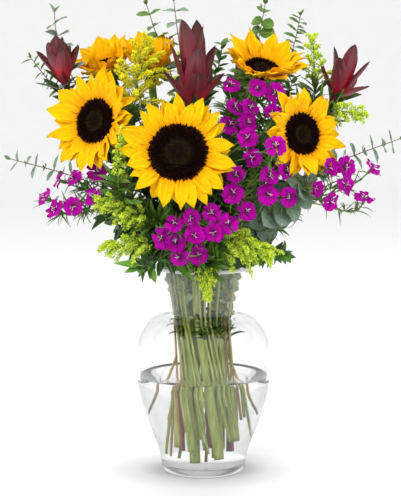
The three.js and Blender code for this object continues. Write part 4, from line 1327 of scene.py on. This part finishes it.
@dataclass(frozen=True)
class Leucadendron(Plant):
    """One head of pointed dark red bracts on a reddish stem; leans are in degrees."""

    at: Point
    tip: Point
    whorls: tuple[int, ...]
    length: float
    spread: float
    shrink: float = 0.38
    inner_lean: float = 4.0
    whorl_turn: float = 0.42
    low_leaves: int = 48
    collar: int = 9
    collar_step: float = 3.4
    collar_lean: Pair = (38.0, 2.5)
    collar_longest: float = 26.0
    kind: ClassVar[str] = "leucadendron_"

    def stem(self) -> Stem:
        """The stem that carries the head.

        Returns:
            The stem, which ends at the back of the head.
        """
        end = np.array(self.at, float)
        arrive = unit(np.array(self.tip) - end)
        return Stem(self.owner, end, arrive, 2.6, 0.9, (end + arrive * self.length * 0.2,))

    def build(self, bundle: Bundle, rng: Random) -> None:
        """Makes the whorls of bracts, the leaves under them and the stem.

        Args:
            bundle: Holds the stem.
            rng: Sets the small differences.
        """
        base = np.array(self.at, float)
        axes = Axes.along(np.array(self.tip) - base)
        piece = Piece(f"{self.owner}_fine")
        for whorl, count in enumerate(self.whorls):
            share = whorl / (len(self.whorls) - 1)
            turn = np.arange(count) + whorl * self.whorl_turn + rng.uniform(-0.15, 0.15, count)
            angle = turn / count * FULL_TURN
            lean = math.radians(self.inner_lean + (self.spread - self.inner_lean) * share)
            lean = lean + rng.uniform(-0.06, 0.06, count)
            roots = base + axes.out(angle) * 3.0 - axes.axis * 4.0 * share
            length = self.length * (1 - self.shrink * share - rng.uniform(0, 0.16, count))
            width = (9.5 + self.length * 0.15) * rng.uniform(0.8, 1.15, count)
            piece.add(BRACT_BLADE.grow(roots, *axes.splay(angle, lean), length, width, rng), BRACT)
        line = bundle.free_part(self.owner)
        piece.add(bundle.leaves(LOW_LEAVES, line, self.low_leaves, rng), DARK_LEAF)
        order = np.arange(self.collar)
        roots = line[-1] - axes.axis * (2 + order * self.collar_step)[:, None]
        first, step = self.collar_lean
        ways = axes.splay(order * GOLDEN_TURN, np.radians(first + order * step))
        size = np.minimum(self.length * 0.45, self.collar_longest) * rng.uniform(0.8, 1.1, self.collar)
        piece.add(LOW_BLADE.grow(roots, *ways, size, size * 0.4, rng), BRACT)
        piece.add(bundle.stalk(self.owner, 12), RED_STALK)
        piece.place("red_bract", self.owner)


# ---- dianthus ------------------------------------------------------------------------------------

FRILLED = Blade(
    Outline.FLORET, bend=0.22, bend_spread=0.5, cup=0.1, twist=0.45, ripple=0.24, ripples=1.4, teeth=0.15,
    thickness=0.35, rows=13, columns=11,
)
TUFT_BLADE = Blade(
    Outline.TUFT, bend=0.3, bend_spread=0.6, curl=0.6, cup=0.3, twist=0.8, sway=0.2, thickness=0.4, rows=8,
    columns=3,
)
NEEDLE_BLADE = Blade(
    Outline.NEEDLE, bend=0.5, bend_spread=0.6, curl=0.6, cup=0.3, twist=0.8, sway=0.1, thickness=0.4, rows=10,
    columns=3,
)
NEEDLES = Leafage(NEEDLE_BLADE, (18, 34), 0.12, (15, 65), (0.05, 1.0))
RINGLETS = Leafage(
    replace(NEEDLE_BLADE, bend=1.5, bend_spread=1.2, curl=3.2, rows=16), (36, 54), 0.045, (40, 100),
    (0.6, 1.0),
)
NECK_NEEDLES = Leafage(NEEDLE_BLADE, (8, 20), 0.2, (15, 75), turned=0.3)


@dataclass(frozen=True)
class Dianthus(Plant):
    """A spray of five-petalled magenta florets on jointed stems."""

    florets: tuple[Point, ...]
    floret_radius: float = 11.0
    petals: int = 5
    opening: tuple[float, ...] = (4.0, 12.0, 40.0)  # how steeply petals stand, in degrees
    chances: tuple[float, ...] = (0.5, 0.32, 0.18)
    face_scatter: Point = (48, 22, 48)
    stamens: int = 4
    calyx_length: float = 9.0
    calyx: Pairs = ((0.9, 0), (1.7, 0.8), (1.9, 4), (1.8, 6.6), (1.5, 7.9), (0.4, 7.6))
    bud_chance: float = 0.4
    bud: Pairs = ((0.7, 0), (1.5, 0.8), (1.7, 4), (1.4, 7.5), (0.6, 8.6))
    bud_tip: Pairs = ((1.0, 7.0), (1.3, 8.5), (1.0, 10.5), (0.2, 12))
    tuft: int = 26
    kind: ClassVar[str] = "dianthus_"

    def stem(self) -> Stem:
        """The stem that the pedicels part from.

        Returns:
            The stem, which ends behind the middle of the florets.
        """
        middle = np.mean(np.array(self.florets, float), 0)
        end = middle + (np.array([0, 0, middle[2] - 70]) - middle) * 0.36
        return Stem(self.owner, end, unit(unit(middle - end) + [0, 0, 0.5]), 1.9, 0.8)

    def build(self, bundle: Bundle, rng: Random) -> None:
        """Makes the florets, buds, pedicels, narrow leaves and the stem.

        Args:
            bundle: Holds the stem.
            rng: Sets the small differences.
        """
        piece = Piece(f"{self.owner}_fine")
        line = bundle.free_part(self.owner)
        for place in np.array(self.florets, float):
            face = unit(np.array([place[0] * 0.35, place[1], 30]) + rng.uniform(-1, 1, 3) * self.face_scatter)
            self.add_floret(piece, place, face, rng)
            foot = place - face * self.calyx_length
            piece.add_one(turned(self.calyx, 10), SEPAL, foot, face, rng)
            self.add_tuft(piece, self.add_pedicel(piece, line, foot, face, rng), face, rng)
            if rng.random() < self.bud_chance:
                self.add_bud(piece, line, foot, face, rng)
        neck = bundle.low_part(self.owner, 148, 176, 6)
        piece.add(bundle.leaves(NEEDLES, line, 90, rng), NEEDLE)
        piece.add(bundle.leaves(RINGLETS, line, 9, rng), NEEDLE)
        piece.add(bundle.leaves(NECK_NEEDLES, neck, 40, rng), DARK_LEAF)
        piece.add(bundle.stalk(self.owner, 10, 0.0, 0.35), REED)
        piece.place("magenta_floret", self.owner)

    def add_floret(self, piece: Piece, place: Array, face: Array, rng: Random) -> None:
        """Adds the petals and stamens of one floret.

        Args:
            piece: Takes them in.
            place: The middle of the floret.
            face: The way that it looks.
            rng: Sets how far it is open, and the small differences.
        """
        axes, count = Axes.along(face), self.petals
        angle = (np.arange(count) + rng.uniform(-0.13, 0.13, count)) / count * FULL_TURN + rng.uniform(0, 2)
        opening = rng.choice(self.opening, p=self.chances)
        tilt = np.radians(opening + rng.uniform(-9, 11, count))
        size = self.floret_radius * rng.uniform(0.84, 1.05)
        roots = place + axes.out(angle) * 0.8 - face * 0.6
        width = size * rng.uniform(0.98, 1.2, count)
        piece.add(FRILLED.grow(roots, *axes.splay(angle, math.pi / 2 - tilt), size, width, rng), MAGENTA)
        for way in axes.lean(rng.uniform(*ANY_TURN, self.stamens), rng.uniform(0.5, 1.3, self.stamens)):
            bow, end = place + face * 3 + way * 2, place + face + way * 4.5
            hook = bezier(place - face, place + face * 2.5, bow, end, 6)
            piece.add(tube(hook, np.linspace(0.26, 0.16, 7), 4), STAMEN)

    def add_pedicel(self, piece: Piece, line: Array, foot: Array, face: Array, rng: Random) -> Array:
        """Leads a thin stalk from the stem to the foot of a calyx.

        Args:
            piece: Takes in the stalk.
            line: Points of the stem.
            foot: The foot of the calyx.
            face: The way that the floret looks.
            rng: Picks the fork.

        Returns:
            Points of the stalk.
        """
        fork = line[int(rng.integers(len(line) - 7, len(line)))]
        reach = np.linalg.norm(foot - fork) * 0.4
        stalk = bezier(fork, fork + unit(line[-1] - line[-3]) * reach, foot - face * reach, foot + face, 8)
        piece.add(tube(stalk, 0.9, 6), REED)
        return stalk

    def add_tuft(self, piece: Piece, stalk: Array, face: Array, rng: Random) -> None:
        """Adds narrow curled leaves along the end of a floret's stalk.

        Args:
            piece: Takes them in.
            stalk: Points of the stalk.
            face: The way that the floret looks.
            rng: Sets where and how they stand.
        """
        angle = rng.uniform(0, FULL_TURN, self.tuft)
        ways = Axes.along(face).splay(angle, rng.uniform(0.35, 1.7, self.tuft))
        roots, _ = spots_on(stalk, rng.uniform(0.55, 0.995, self.tuft) * (len(stalk) - 1))
        piece.add(TUFT_BLADE.grow(roots, *ways, rng.uniform(10, 24, self.tuft), 2.0, rng), NEEDLE)

    def add_bud(self, piece: Piece, line: Array, foot: Array, face: Array, rng: Random) -> None:
        """Adds a closed bud beside a floret.

        Args:
            piece: Takes it in.
            line: Points of the stem.
            foot: The foot of the floret's calyx.
            face: The way that the floret looks.
            rng: Sets where it is.
        """
        shift = Axes.along(face).out(rng.uniform(*ANY_TURN, 1))[0] * rng.uniform(6, 9)
        base = foot + shift - face * rng.uniform(0, 5)
        piece.add_one(turned(self.bud, 8), SEPAL, base, face, rng)
        piece.add_one(turned(self.bud_tip, 8), MAGENTA, base, face, rng)
        piece.add(tube(bezier(line[-4], line[-1], base - face * 6, base + face, 7), 0.7, 5), REED)


# ---- solidago ------------------------------------------------------------------------------------

SIDE_LEAVES = Leafage(
    Blade(Outline.NARROW, bend=0.4, bend_spread=0.4, cup=0.2, twist=0.6, thickness=0.4, rows=8, columns=5),
    (18, 36), 0.19, (25, 65), (0.15, 1.0),
)


@dataclass(frozen=True)
class Solidago(Plant):
    """A fluffy plume of tiny yellow florets on arching branchlets; leans are in degrees."""

    base: Point
    tip: Point
    branchlets: int
    length: float
    fullness: float = 5.5
    finish: CrumbFinish = PLUME
    low_lean: float = 58.0
    high_lean: float = 24.0
    floret: Pairs = ((0.3, 0), (0.62, 0.8), (0.9, 2.1), (0.45, 2.0), (0.3, 2.7), (0.0, 2.9))
    floret_size: Pair = (0.55, 0.98)
    crowding: float = 3.6
    steps: int = 9
    side_leaves: int = 96
    kind: ClassVar[str] = "solidago_"

    def stem(self) -> Stem:
        """The stem, which runs on through the plume."""
        end, tip = np.array(self.base, float), np.array(self.tip, float)
        return Stem(self.owner, end, unit(tip - end), 1.7, 0.6, (tip,))

    def build(self, bundle: Bundle, rng: Random) -> None:
        """Makes the branchlets with their florets, some narrow leaves and the stem.

        Args:
            bundle: Holds the stem.
            rng: Sets the small differences.
        """
        piece = Piece(f"{self.owner}_fine")
        count = int(self.branchlets * self.fullness)
        spots = [self.branchlet(piece, i * GOLDEN_TURN, (i + 0.5) / count, rng) for i in range(count)]
        places, ways = (np.concatenate(rows) for rows in zip(*spots))
        sizes = rng.uniform(*self.floret_size, len(places))
        tints = rng.uniform(0, 1, len(places))
        piece.add(scatter(turned(self.floret, 5), places, ways, sizes, tints, rng), self.finish)
        piece.add(bundle.leaves(SIDE_LEAVES, bundle.free_part(self.owner), self.side_leaves, rng), FRESH_LEAF)
        piece.add(bundle.stalk(self.owner, 8), REED)
        piece.place("solidago_yellow", self.owner)

    def branchlet(self, piece: Piece, angle: float, share: float, rng: Random) -> tuple[Array, Array]:
        """Adds an arching branchlet and finds its florets their places.

        Args:
            piece: Takes in the branchlet.
            angle: The side of the stem that it grows on.
            share: How far up the plume it grows.
            rng: Sets the small differences.

        Returns:
            Where the florets stand, and the ways they point.
        """
        base, tip = np.array(self.base, float), np.array(self.tip, float)
        lean = self.low_lean + (self.high_lean - self.low_lean) * share + rng.uniform(-12, 12)
        way = Axes.along(tip - base).lean(angle, math.radians(lean))[0]
        length = self.length * (1.1 - 0.55 * share) * rng.uniform(0.6, 1.12)
        root = base + (tip - base) * share * 0.94
        end = root + way * length - UPRIGHT.axis * length * rng.uniform(0.1, 0.3)
        curve = bezier(root, root + way * length * 0.45, root + way * length * 0.8, end, self.steps)
        piece.add(tube(curve, np.linspace(0.55, 0.25, self.steps + 1), 4), REED)
        crowd = int(length * self.crowding) + 8
        reach = rng.uniform(0.12, 1.0, crowd) ** 0.8
        spots, _ = spots_on(curve, reach * self.steps)
        outward = unit(rng.normal(0, 1, (crowd, 3)) + [0, 0, 0.55])
        far = rng.uniform(0.4, 3.2, crowd) * (1.15 - 0.75 * reach)
        return spots + outward * far[:, None], outward + way * 0.6


# ---- leafy stems ---------------------------------------------------------------------------------

LEAF_BLADE = Blade(
    Outline.OVAL, bend=0.3, bend_spread=0.35, curl=0.15, cup=0.2, twist=0.4, ripple=0.05, thickness=0.5,
    rows=11,
)
NECK_BLADE = Blade(
    Outline.ROUND, bend=0.15, bend_spread=0.4, cup=0.2, twist=0.6, thickness=0.5, rows=9, columns=5,
)
DRAPED = Blade(Outline.LANCE, bend=0.25, cup=0.25, twist=0.3, ripple=0.05, thickness=0.5, rows=13)
TWIG_BLADE = Blade(
    Outline.OVAL, bend=0.25, bend_spread=0.3, cup=0.2, twist=0.4, thickness=0.5, rows=9, columns=5,
)
NECK_LEAVES = Leafage(NECK_BLADE, (6.5, 12.5), 0.78, (10, 85), turned=0.6)
TWIG_LEAVES = Leafage(TWIG_BLADE, (12, 21), 0.5, (35, 75), (0.05, 1.0), 0.8, 0.7)


@dataclass(frozen=True)
class Leafy(Plant):
    """A stem with leaves all along its free part."""

    via: Point
    tip: Point
    leaves: int
    leaf: Pair
    outline: Outline = Outline.OVAL
    finish: BladeFinish = SILVER_LEAF
    stalk: StalkFinish = BROWN_STALK
    slot: str = "eucalyptus_leaf"
    nudge: Point = (0, 0, 0)
    lean: Pair = (60.0, 92.0)
    turned: float = 1.2
    paired: bool = True
    drapes: tuple[Point, ...] = ()
    shoot: tuple[Point, ...] = ()
    branches: tuple[Point, ...] = ()
    look: Point = (0, 0, 0)
    crown: tuple[Point, ...] = ((0.4, 0.35, 0.62), (2.6, 0.5, 0.5), (4.5, 0.2, 0.4))  # angle, lean, length
    neck_leaves: int = 26
    drape_width: float = 9.5
    twig_leaves: int = 40

    def stem(self) -> Stem:
        """The stem that carries the leaves."""
        end = np.array(self.tip, float)
        return Stem(self.owner, end, unit(end - np.array(self.via)), 1.7, 0.36, (), self.nudge)

    def build(self, bundle: Bundle, rng: Random) -> None:
        """Makes the leaves, from the stem's tip to the neck of the glass, and the stem.

        Args:
            bundle: Holds the stem.
            rng: Sets the small differences.
        """
        piece = Piece(f"{self.owner}_fine")
        line = bundle.free_part(self.owner, 40)
        length, width = self.leaf
        form = replace(LEAF_BLADE, outline=self.outline)
        leafage = Leafage(
            form, (length * 1.3, length * 1.8), width / length, self.lean, (0.0, 0.995), self.turned, 0.62,
            self.paired, self.look,
        )
        piece.add(bundle.leaves(leafage, line, self.leaves, rng), self.finish)
        way = Axes.along(line[-1] - line[-3])
        angle, lean, share = np.array(self.crown).T
        roots, face, size = line[[-1] * len(share)], way.axis * 0.3 - way.out(angle), share * length
        crown = form.grow(roots, way.lean(angle, lean), face, size, size * width / length, rng)
        piece.add(crown, self.finish)
        neck = bundle.low_part(self.owner, 168, 238, 10)
        # these neck leaves take the finish with painted light, paler than their own green
        piece.add(bundle.leaves(NECK_LEAVES, neck, self.neck_leaves, rng), PAINTED_LIGHT_NECK_LEAF)
        self.drape(piece, line, rng)
        self.branch(piece, line, rng)
        if self.shoot:
            start = bundle.point(bundle.stems[self.owner], 128)
            piece.add(tube(smooth_line(np.array([start, *self.shoot]), 5), 1.5, 8), self.stalk)
        piece.add(bundle.stalk(self.owner, 8), self.stalk)
        piece.place(self.slot, self.owner)

    def drape(self, piece: Piece, line: Array, rng: Random) -> None:
        """Hangs long pointed leaves from the stem over the rim, each to its own tip.

        Args:
            piece: Takes them in.
            line: Points of the stem.
            rng: Sets the small differences.
        """
        for tip in self.drapes:
            root = line[np.argmin(np.linalg.norm(line - tip, axis=1))]
            way = np.array(tip) - root
            face = np.array([way[0] * 0.5, -30.0, 30.0])
            size = np.linalg.norm(way) * 1.05
            leaf = DRAPED.grow(root[None], way[None], face[None], size, self.drape_width, rng)
            piece.add(leaf, BRIGHT_LEAF)

    def branch(self, piece: Piece, line: Array, rng: Random) -> None:
        """Adds side twigs with small leaves, each to its own tip.

        Args:
            piece: Takes them in.
            line: Points of the stem.
            rng: Sets the small differences.
        """
        for tip in self.branches:
            end = np.array(tip, float)
            root = line[np.argmin(np.linalg.norm(line - (end - [0, 0, 90]), axis=1))]
            reach = np.linalg.norm(end - root) * 0.35
            first = root + unit(end - root + [0, 0, 30.0]) * reach
            twig = bezier(root, first, end - UPRIGHT.axis * reach, end, 14)
            piece.add(tube(twig, np.linspace(1.0, 0.45, len(twig)), 6), self.stalk)
            piece.add(TWIG_LEAVES.grow(twig, self.twig_leaves, rng), FRESH_LEAF)


# ---- studio --------------------------------------------------------------------------------------


@dataclass(frozen=True)
class Studio:
    """A wide pale floor that curves up all round into a backdrop, soft lights and the camera.

    The floor is in millimetres, and lights and camera are in metres.
    """

    camera_at: Point = (-0.0033, -1.700, 0.440)
    camera_tilt: float = 83.5054
    lens: float = 113.81
    sensor: float = 36.0
    lights: tuple[tuple[str, Point, float, float], ...] = (
        ("key", (-1.1, -1.5, 1.7), 1.1, 26), ("fill", (1.4, -1.3, 1.0), 1.2, 9),
        ("top", (0.1, 0.5, 2.0), 1.2, 12),
    )
    lit: Point = (0.0, 0.0, 0.28)
    world_strength: float = 0.95
    floor_colour: Colour = (0.93, 0.93, 0.93)
    # painted shadow: the floor's colour darkens towards the vase's foot, by distance from the middle
    shade: Stops = ((0.2, (0.45, 0.45, 0.46)), (0.36, (0.8, 0.8, 0.8)), (0.62, (1, 1, 1)))
    painted_shadow_stretch: Point = (5.0, 7.5, 0.0)
    floor_radius: float = 3500.0
    bow: float = 1200.0
    bow_step: float = 7.5
    wall_height: float = 2600.0

    def build(self) -> None:
        """Sets up the floor, the lights, the surroundings and the camera."""
        self.floor()
        for light in self.lights:
            self.light(*light)
        world = bpy.data.worlds.new("soft room")
        world.use_nodes = True
        background = world.node_tree.nodes["Background"]
        background.inputs["Color"].default_value = (1, 1, 1, 1)
        background.inputs["Strength"].default_value = self.world_strength
        bpy.context.scene.world = world
        bpy.context.scene.view_settings.view_transform = "Standard"
        self.camera()

    def floor(self) -> None:
        """Makes the floor and its backdrop as one wide bowl, with a soft shadow painted into its colour round
        the vase.
        """
        profile = [(0, 0), (200, 0), (self.floor_radius, 0)]
        for angle in np.radians(np.arange(self.bow_step, 91, self.bow_step)):
            rise = self.bow - self.bow * math.cos(angle)
            profile.append((self.floor_radius + self.bow * math.sin(angle), rise))
        profile.append((self.floor_radius + self.bow, self.wall_height))
        bowl = turned(profile, 96)
        mesh = bpy.data.meshes.new("studio_floor")
        mesh.from_pydata((bowl.points * MM).tolist(), [], bowl.faces.tolist())
        mesh.shade_smooth()
        recipe = Recipe("pale floor", 0.6)
        grain = recipe.grain(60.0)
        dark = tuple(0.985 * c for c in self.floor_colour)
        colour = recipe.ramp(grain, ((0.3, dark), (0.7, self.floor_colour)))
        # painted contact shadow: the floor is darker close to the vase's foot, in a stretched ellipse
        far = recipe.add("ShaderNodeVectorMath", operation="LENGTH")
        recipe.feed(far.inputs[0], recipe.place(self.painted_shadow_stretch))
        shade = recipe.ramp(far.outputs["Value"], self.shade)
        mesh.materials.append(recipe.finish(recipe.mix(Blend.DARKEN, 1.0, colour, shade), grain, 0.02))
        floor = bpy.data.objects.new("studio_floor", mesh)
        bpy.context.scene.collection.objects.link(floor)

    def light(self, name: str, at: Point, size: float, power: float) -> None:
        """Adds a square soft light that looks at the bunch.

        Args:
            name: Its name.
            at: Where it is.
            size: Its side.
            power: Its power in watts.
        """
        lamp = bpy.data.lights.new(name, "AREA")
        lamp.size = size
        lamp.energy = power
        thing = bpy.data.objects.new(name, lamp)
        thing.location = at
        way = unit(np.array(self.lit) - at)
        thing.rotation_euler = (math.acos(-way[2]), 0, math.atan2(way[1], way[0]) - math.pi / 2)
        thing.visible_glossy = False
        thing.visible_transmission = False
        bpy.context.scene.collection.objects.link(thing)

    def camera(self) -> None:
        """Sets the camera where the photograph was taken from."""
        data = bpy.data.cameras.new("camera")
        data.lens = self.lens
        data.sensor_width = self.sensor
        camera = bpy.data.objects.new("camera", data)
        camera.location = self.camera_at
        camera.rotation_euler = (math.radians(self.camera_tilt), 0, 0)
        bpy.context.scene.collection.objects.link(camera)
        bpy.context.scene.camera = camera


# ---- the bunch -----------------------------------------------------------------------------------

SUNFLOWERS = (
    Sunflower("centre", (-26, -105, 356), 0, 20, 28, 58, 12, 6),
    Sunflower("left", (-113, -54, 386), -35, 14, 22, 54, 11, 16),
    Sunflower("right", (102, -64, 373), 34, 10, 20, 48, 10, 16),
    Sunflower("top_right", (62, -20, 440), 18, 58, 18, 50, 9, 44),
    Sunflower("top_left", (-106, 28, 442), -30, 62, 16, 43, 7, 46),
    Sunflower("top_middle", (-56, 6, 446), 0, 66, 15, 45, 7, 58),
)
LEUCADENDRONS = (
    Leucadendron("left", (-150, -8, 431), (-156, -8, 475), (3, 4, 6), 50, 31, 0.1),
    Leucadendron("centre", (-10, -46, 404), (-13, -48, 496), (3, 3, 5), 90, 42),
    Leucadendron("right", (143, -6, 414), (163, -12, 463), (2, 3, 4), 58, 46, 0.2),
    Leucadendron("back", (40, 88, 408), (52, 112, 470), (3, 3, 4), 60, 26),
)
DIANTHUS = (
    Dianthus("left_low", ((-137, -60, 327), (-112, -58, 334), (-88, -70, 321), (-116, -76, 309),
                          (-136, -70, 298), (-157, -56, 294), (-153, -48, 324), (-169, -46, 306))),
    Dianthus("upper", ((29, -50, 424), (56, -66, 421), (74, -64, 416), (48, -70, 401), (32, -68, 401),
                       (71, -76, 394), (27, -74, 383), (46, -80, 386), (45, -88, 370))),
    Dianthus("middle", ((50, -92, 350), (33, -106, 333), (30, -106, 315), (67, -94, 331), (85, -84, 337),
                        (66, -98, 313), (88, -86, 309), (44, -104, 296), (73, -112, 363))),
    Dianthus("low", ((-13, -113, 290), (8, -110, 295), (-30, -112, 285), (-10, -116, 272), (10, -112, 275),
                     (25, -108, 284), (-43, -102, 268), (-29, -106, 264), (-25, -102, 249), (-6, -96, 250))),
    Dianthus("right_low", ((114, -80, 318), (130, -66, 338), (149, -54, 338), (132, -76, 304),
                           (149, -64, 320), (170, -50, 306), (180, -40, 337))),
    Dianthus("back_left", ((-96, 96, 372), (-78, 108, 356), (-104, 92, 348), (-60, 112, 374), (-84, 100, 390),
                           (-62, 116, 346))),
    Dianthus("back_right", ((92, 90, 352), (74, 104, 338), (104, 80, 332), (60, 112, 358), (84, 98, 372),
                            (112, 74, 356))),
)
SOLIDAGO = (
    Solidago("top_left", (-76, -42, 398), (-62, -44, 464), 9, 43, 3.6, GOLD_PLUME),
    Solidago("between", (-88, -86, 326), (-82, -101, 382), 4, 11, 5.0),
    Solidago("left_low", (-56, -66, 284), (-106, -80, 304), 6, 28),
    Solidago("left_lowest", (-52, -64, 256), (-102, -68, 256), 5, 24),
    Solidago("low", (15, -73, 264), (67, -86, 251), 7, 31),
    Solidago("hanging", (2, -62, 238), (4, -78, 202), 4, 12, 7.0),
    Solidago("top_right", (120, -2, 424), (118, 4, 474), 5, 21, 3.6),
    Solidago("right", (133, -22, 398), (170, -32, 392), 5, 19, 3.6),
    Solidago("back", (-14, 92, 396), (-20, 118, 452), 6, 34),
)


def green(name: str, via: Point, tip: Point, leaf: Pair, drapes: tuple[Point, ...] = ()) -> Leafy:
    """A stem of dark pointed leaves that fills the bunch.

    Args:
        name: Its name.
        via: Where it comes from.
        tip: Where it ends.
        leaf: Length and width of a leaf.
        drapes: Tips of long leaves that hang over the rim.

    Returns:
        The stem.
    """
    return Leafy(
        name, via, tip, 48, leaf, Outline.LANCE, DARK_LEAF, REED, "green_leaf", lean=(35.0, 80.0), turned=1.0,
        paired=False, drapes=drapes,
    )


LEAFY = (
    Leafy("eucalyptus_top_left", (-142, 2, 420), (-161, 12, 501), 40, (19, 10), nudge=(-22.6, -10.8, 7.7)),
    Leafy("eucalyptus_far_left", (-110, -4, 318), (-208, -8, 344), 44, (15, 7),
          shoot=((-44, -22, 92), (-55, -16, 68))),
    Leafy("eucalyptus_top_middle", (-50, 34, 400), (-62, 26, 510), 46, (15, 9), finish=FRESH_LEAF,
          nudge=(19.2, 15.5, 1.7)),
    Leafy("eucalyptus_top", (-22, 12, 400), (-32, 10, 513), 48, (17, 11), nudge=(2.5, 4.7, -0.7),
          branches=((20, 2, 468), (-70, 14, 420))),
    Leafy("eucalyptus_round", (50, 30, 400), (67, 24, 511), 54, (14, 13), Outline.ROUND, FRESH_LEAF,
          turned=0.2, branches=((36, 0, 448), (96, 6, 430)), look=(0.1, -3.0, 0.3)),
    Leafy("twig_top_right", (90, 26, 400), (105, 20, 498), 110, (13, 7), finish=FRESH_LEAF, paired=False),
    Leafy("eucalyptus_far_right", (120, 10, 330), (213, 8, 365), 44, (16, 9), Outline.ROUND,
          shoot=((42, -24, 92), (54, -18, 68))),
    Leafy("twig_left", (-130, 6, 380), (-185, -4, 452), 84, (13, 6), Outline.LANCE, FRESH_LEAF,
          nudge=(-2.3, 6.3, -3.9), paired=False),
    Leafy("eucalyptus_low_right", (66, -52, 268), (108, -70, 322), 44, (21, 18), Outline.ROUND),
    Leafy("eucalyptus_back", (-60, 80, 360), (-110, 118, 440), 52, (20, 14), Outline.ROUND),
    green("foliage_left", (-52, -30, 254), (-104, -42, 290), (26, 9)),
    green("foliage_front", (-20, -56, 244), (-64, -84, 236), (17, 6),
          ((-49, -82, 220), (-82, -86, 232), (-66, -84, 228), (-9, -78, 221), (-92, -84, 244))),
    green("foliage_right", (46, -40, 250), (84, -56, 246), (17, 6),
          ((74, -72, 242), (90, -70, 240), (58, -66, 237))),
    green("foliage_back", (0, 56, 250), (-34, 104, 310), (28, 10)),
    green("foliage_back_right", (48, 44, 252), (102, 82, 302), (28, 10)),
    green("foliage_centre_left", (-50, -30, 290), (-74, -44, 356), (28, 10)),
    green("foliage_centre_right", (30, -16, 290), (54, -38, 350), (28, 10)),
)


def main() -> None:
    """Builds the studio, the vase and every plant, in order."""
    logging.basicConfig(level=logging.INFO, format="%(message)s")
    Studio().build()
    vase = Vase()
    vase.build()
    bundle = Bundle(vase)
    plants = (*SUNFLOWERS, *LEUCADENDRONS, *DIANTHUS, *SOLIDAGO, *LEAFY)
    for plant in plants:
        bundle.add(plant.stem())
    bundle.pack()
    rng = np.random.default_rng(7)
    for plant in plants:
        plant.build(bundle, rng)


if __name__ == "__main__":
    main()
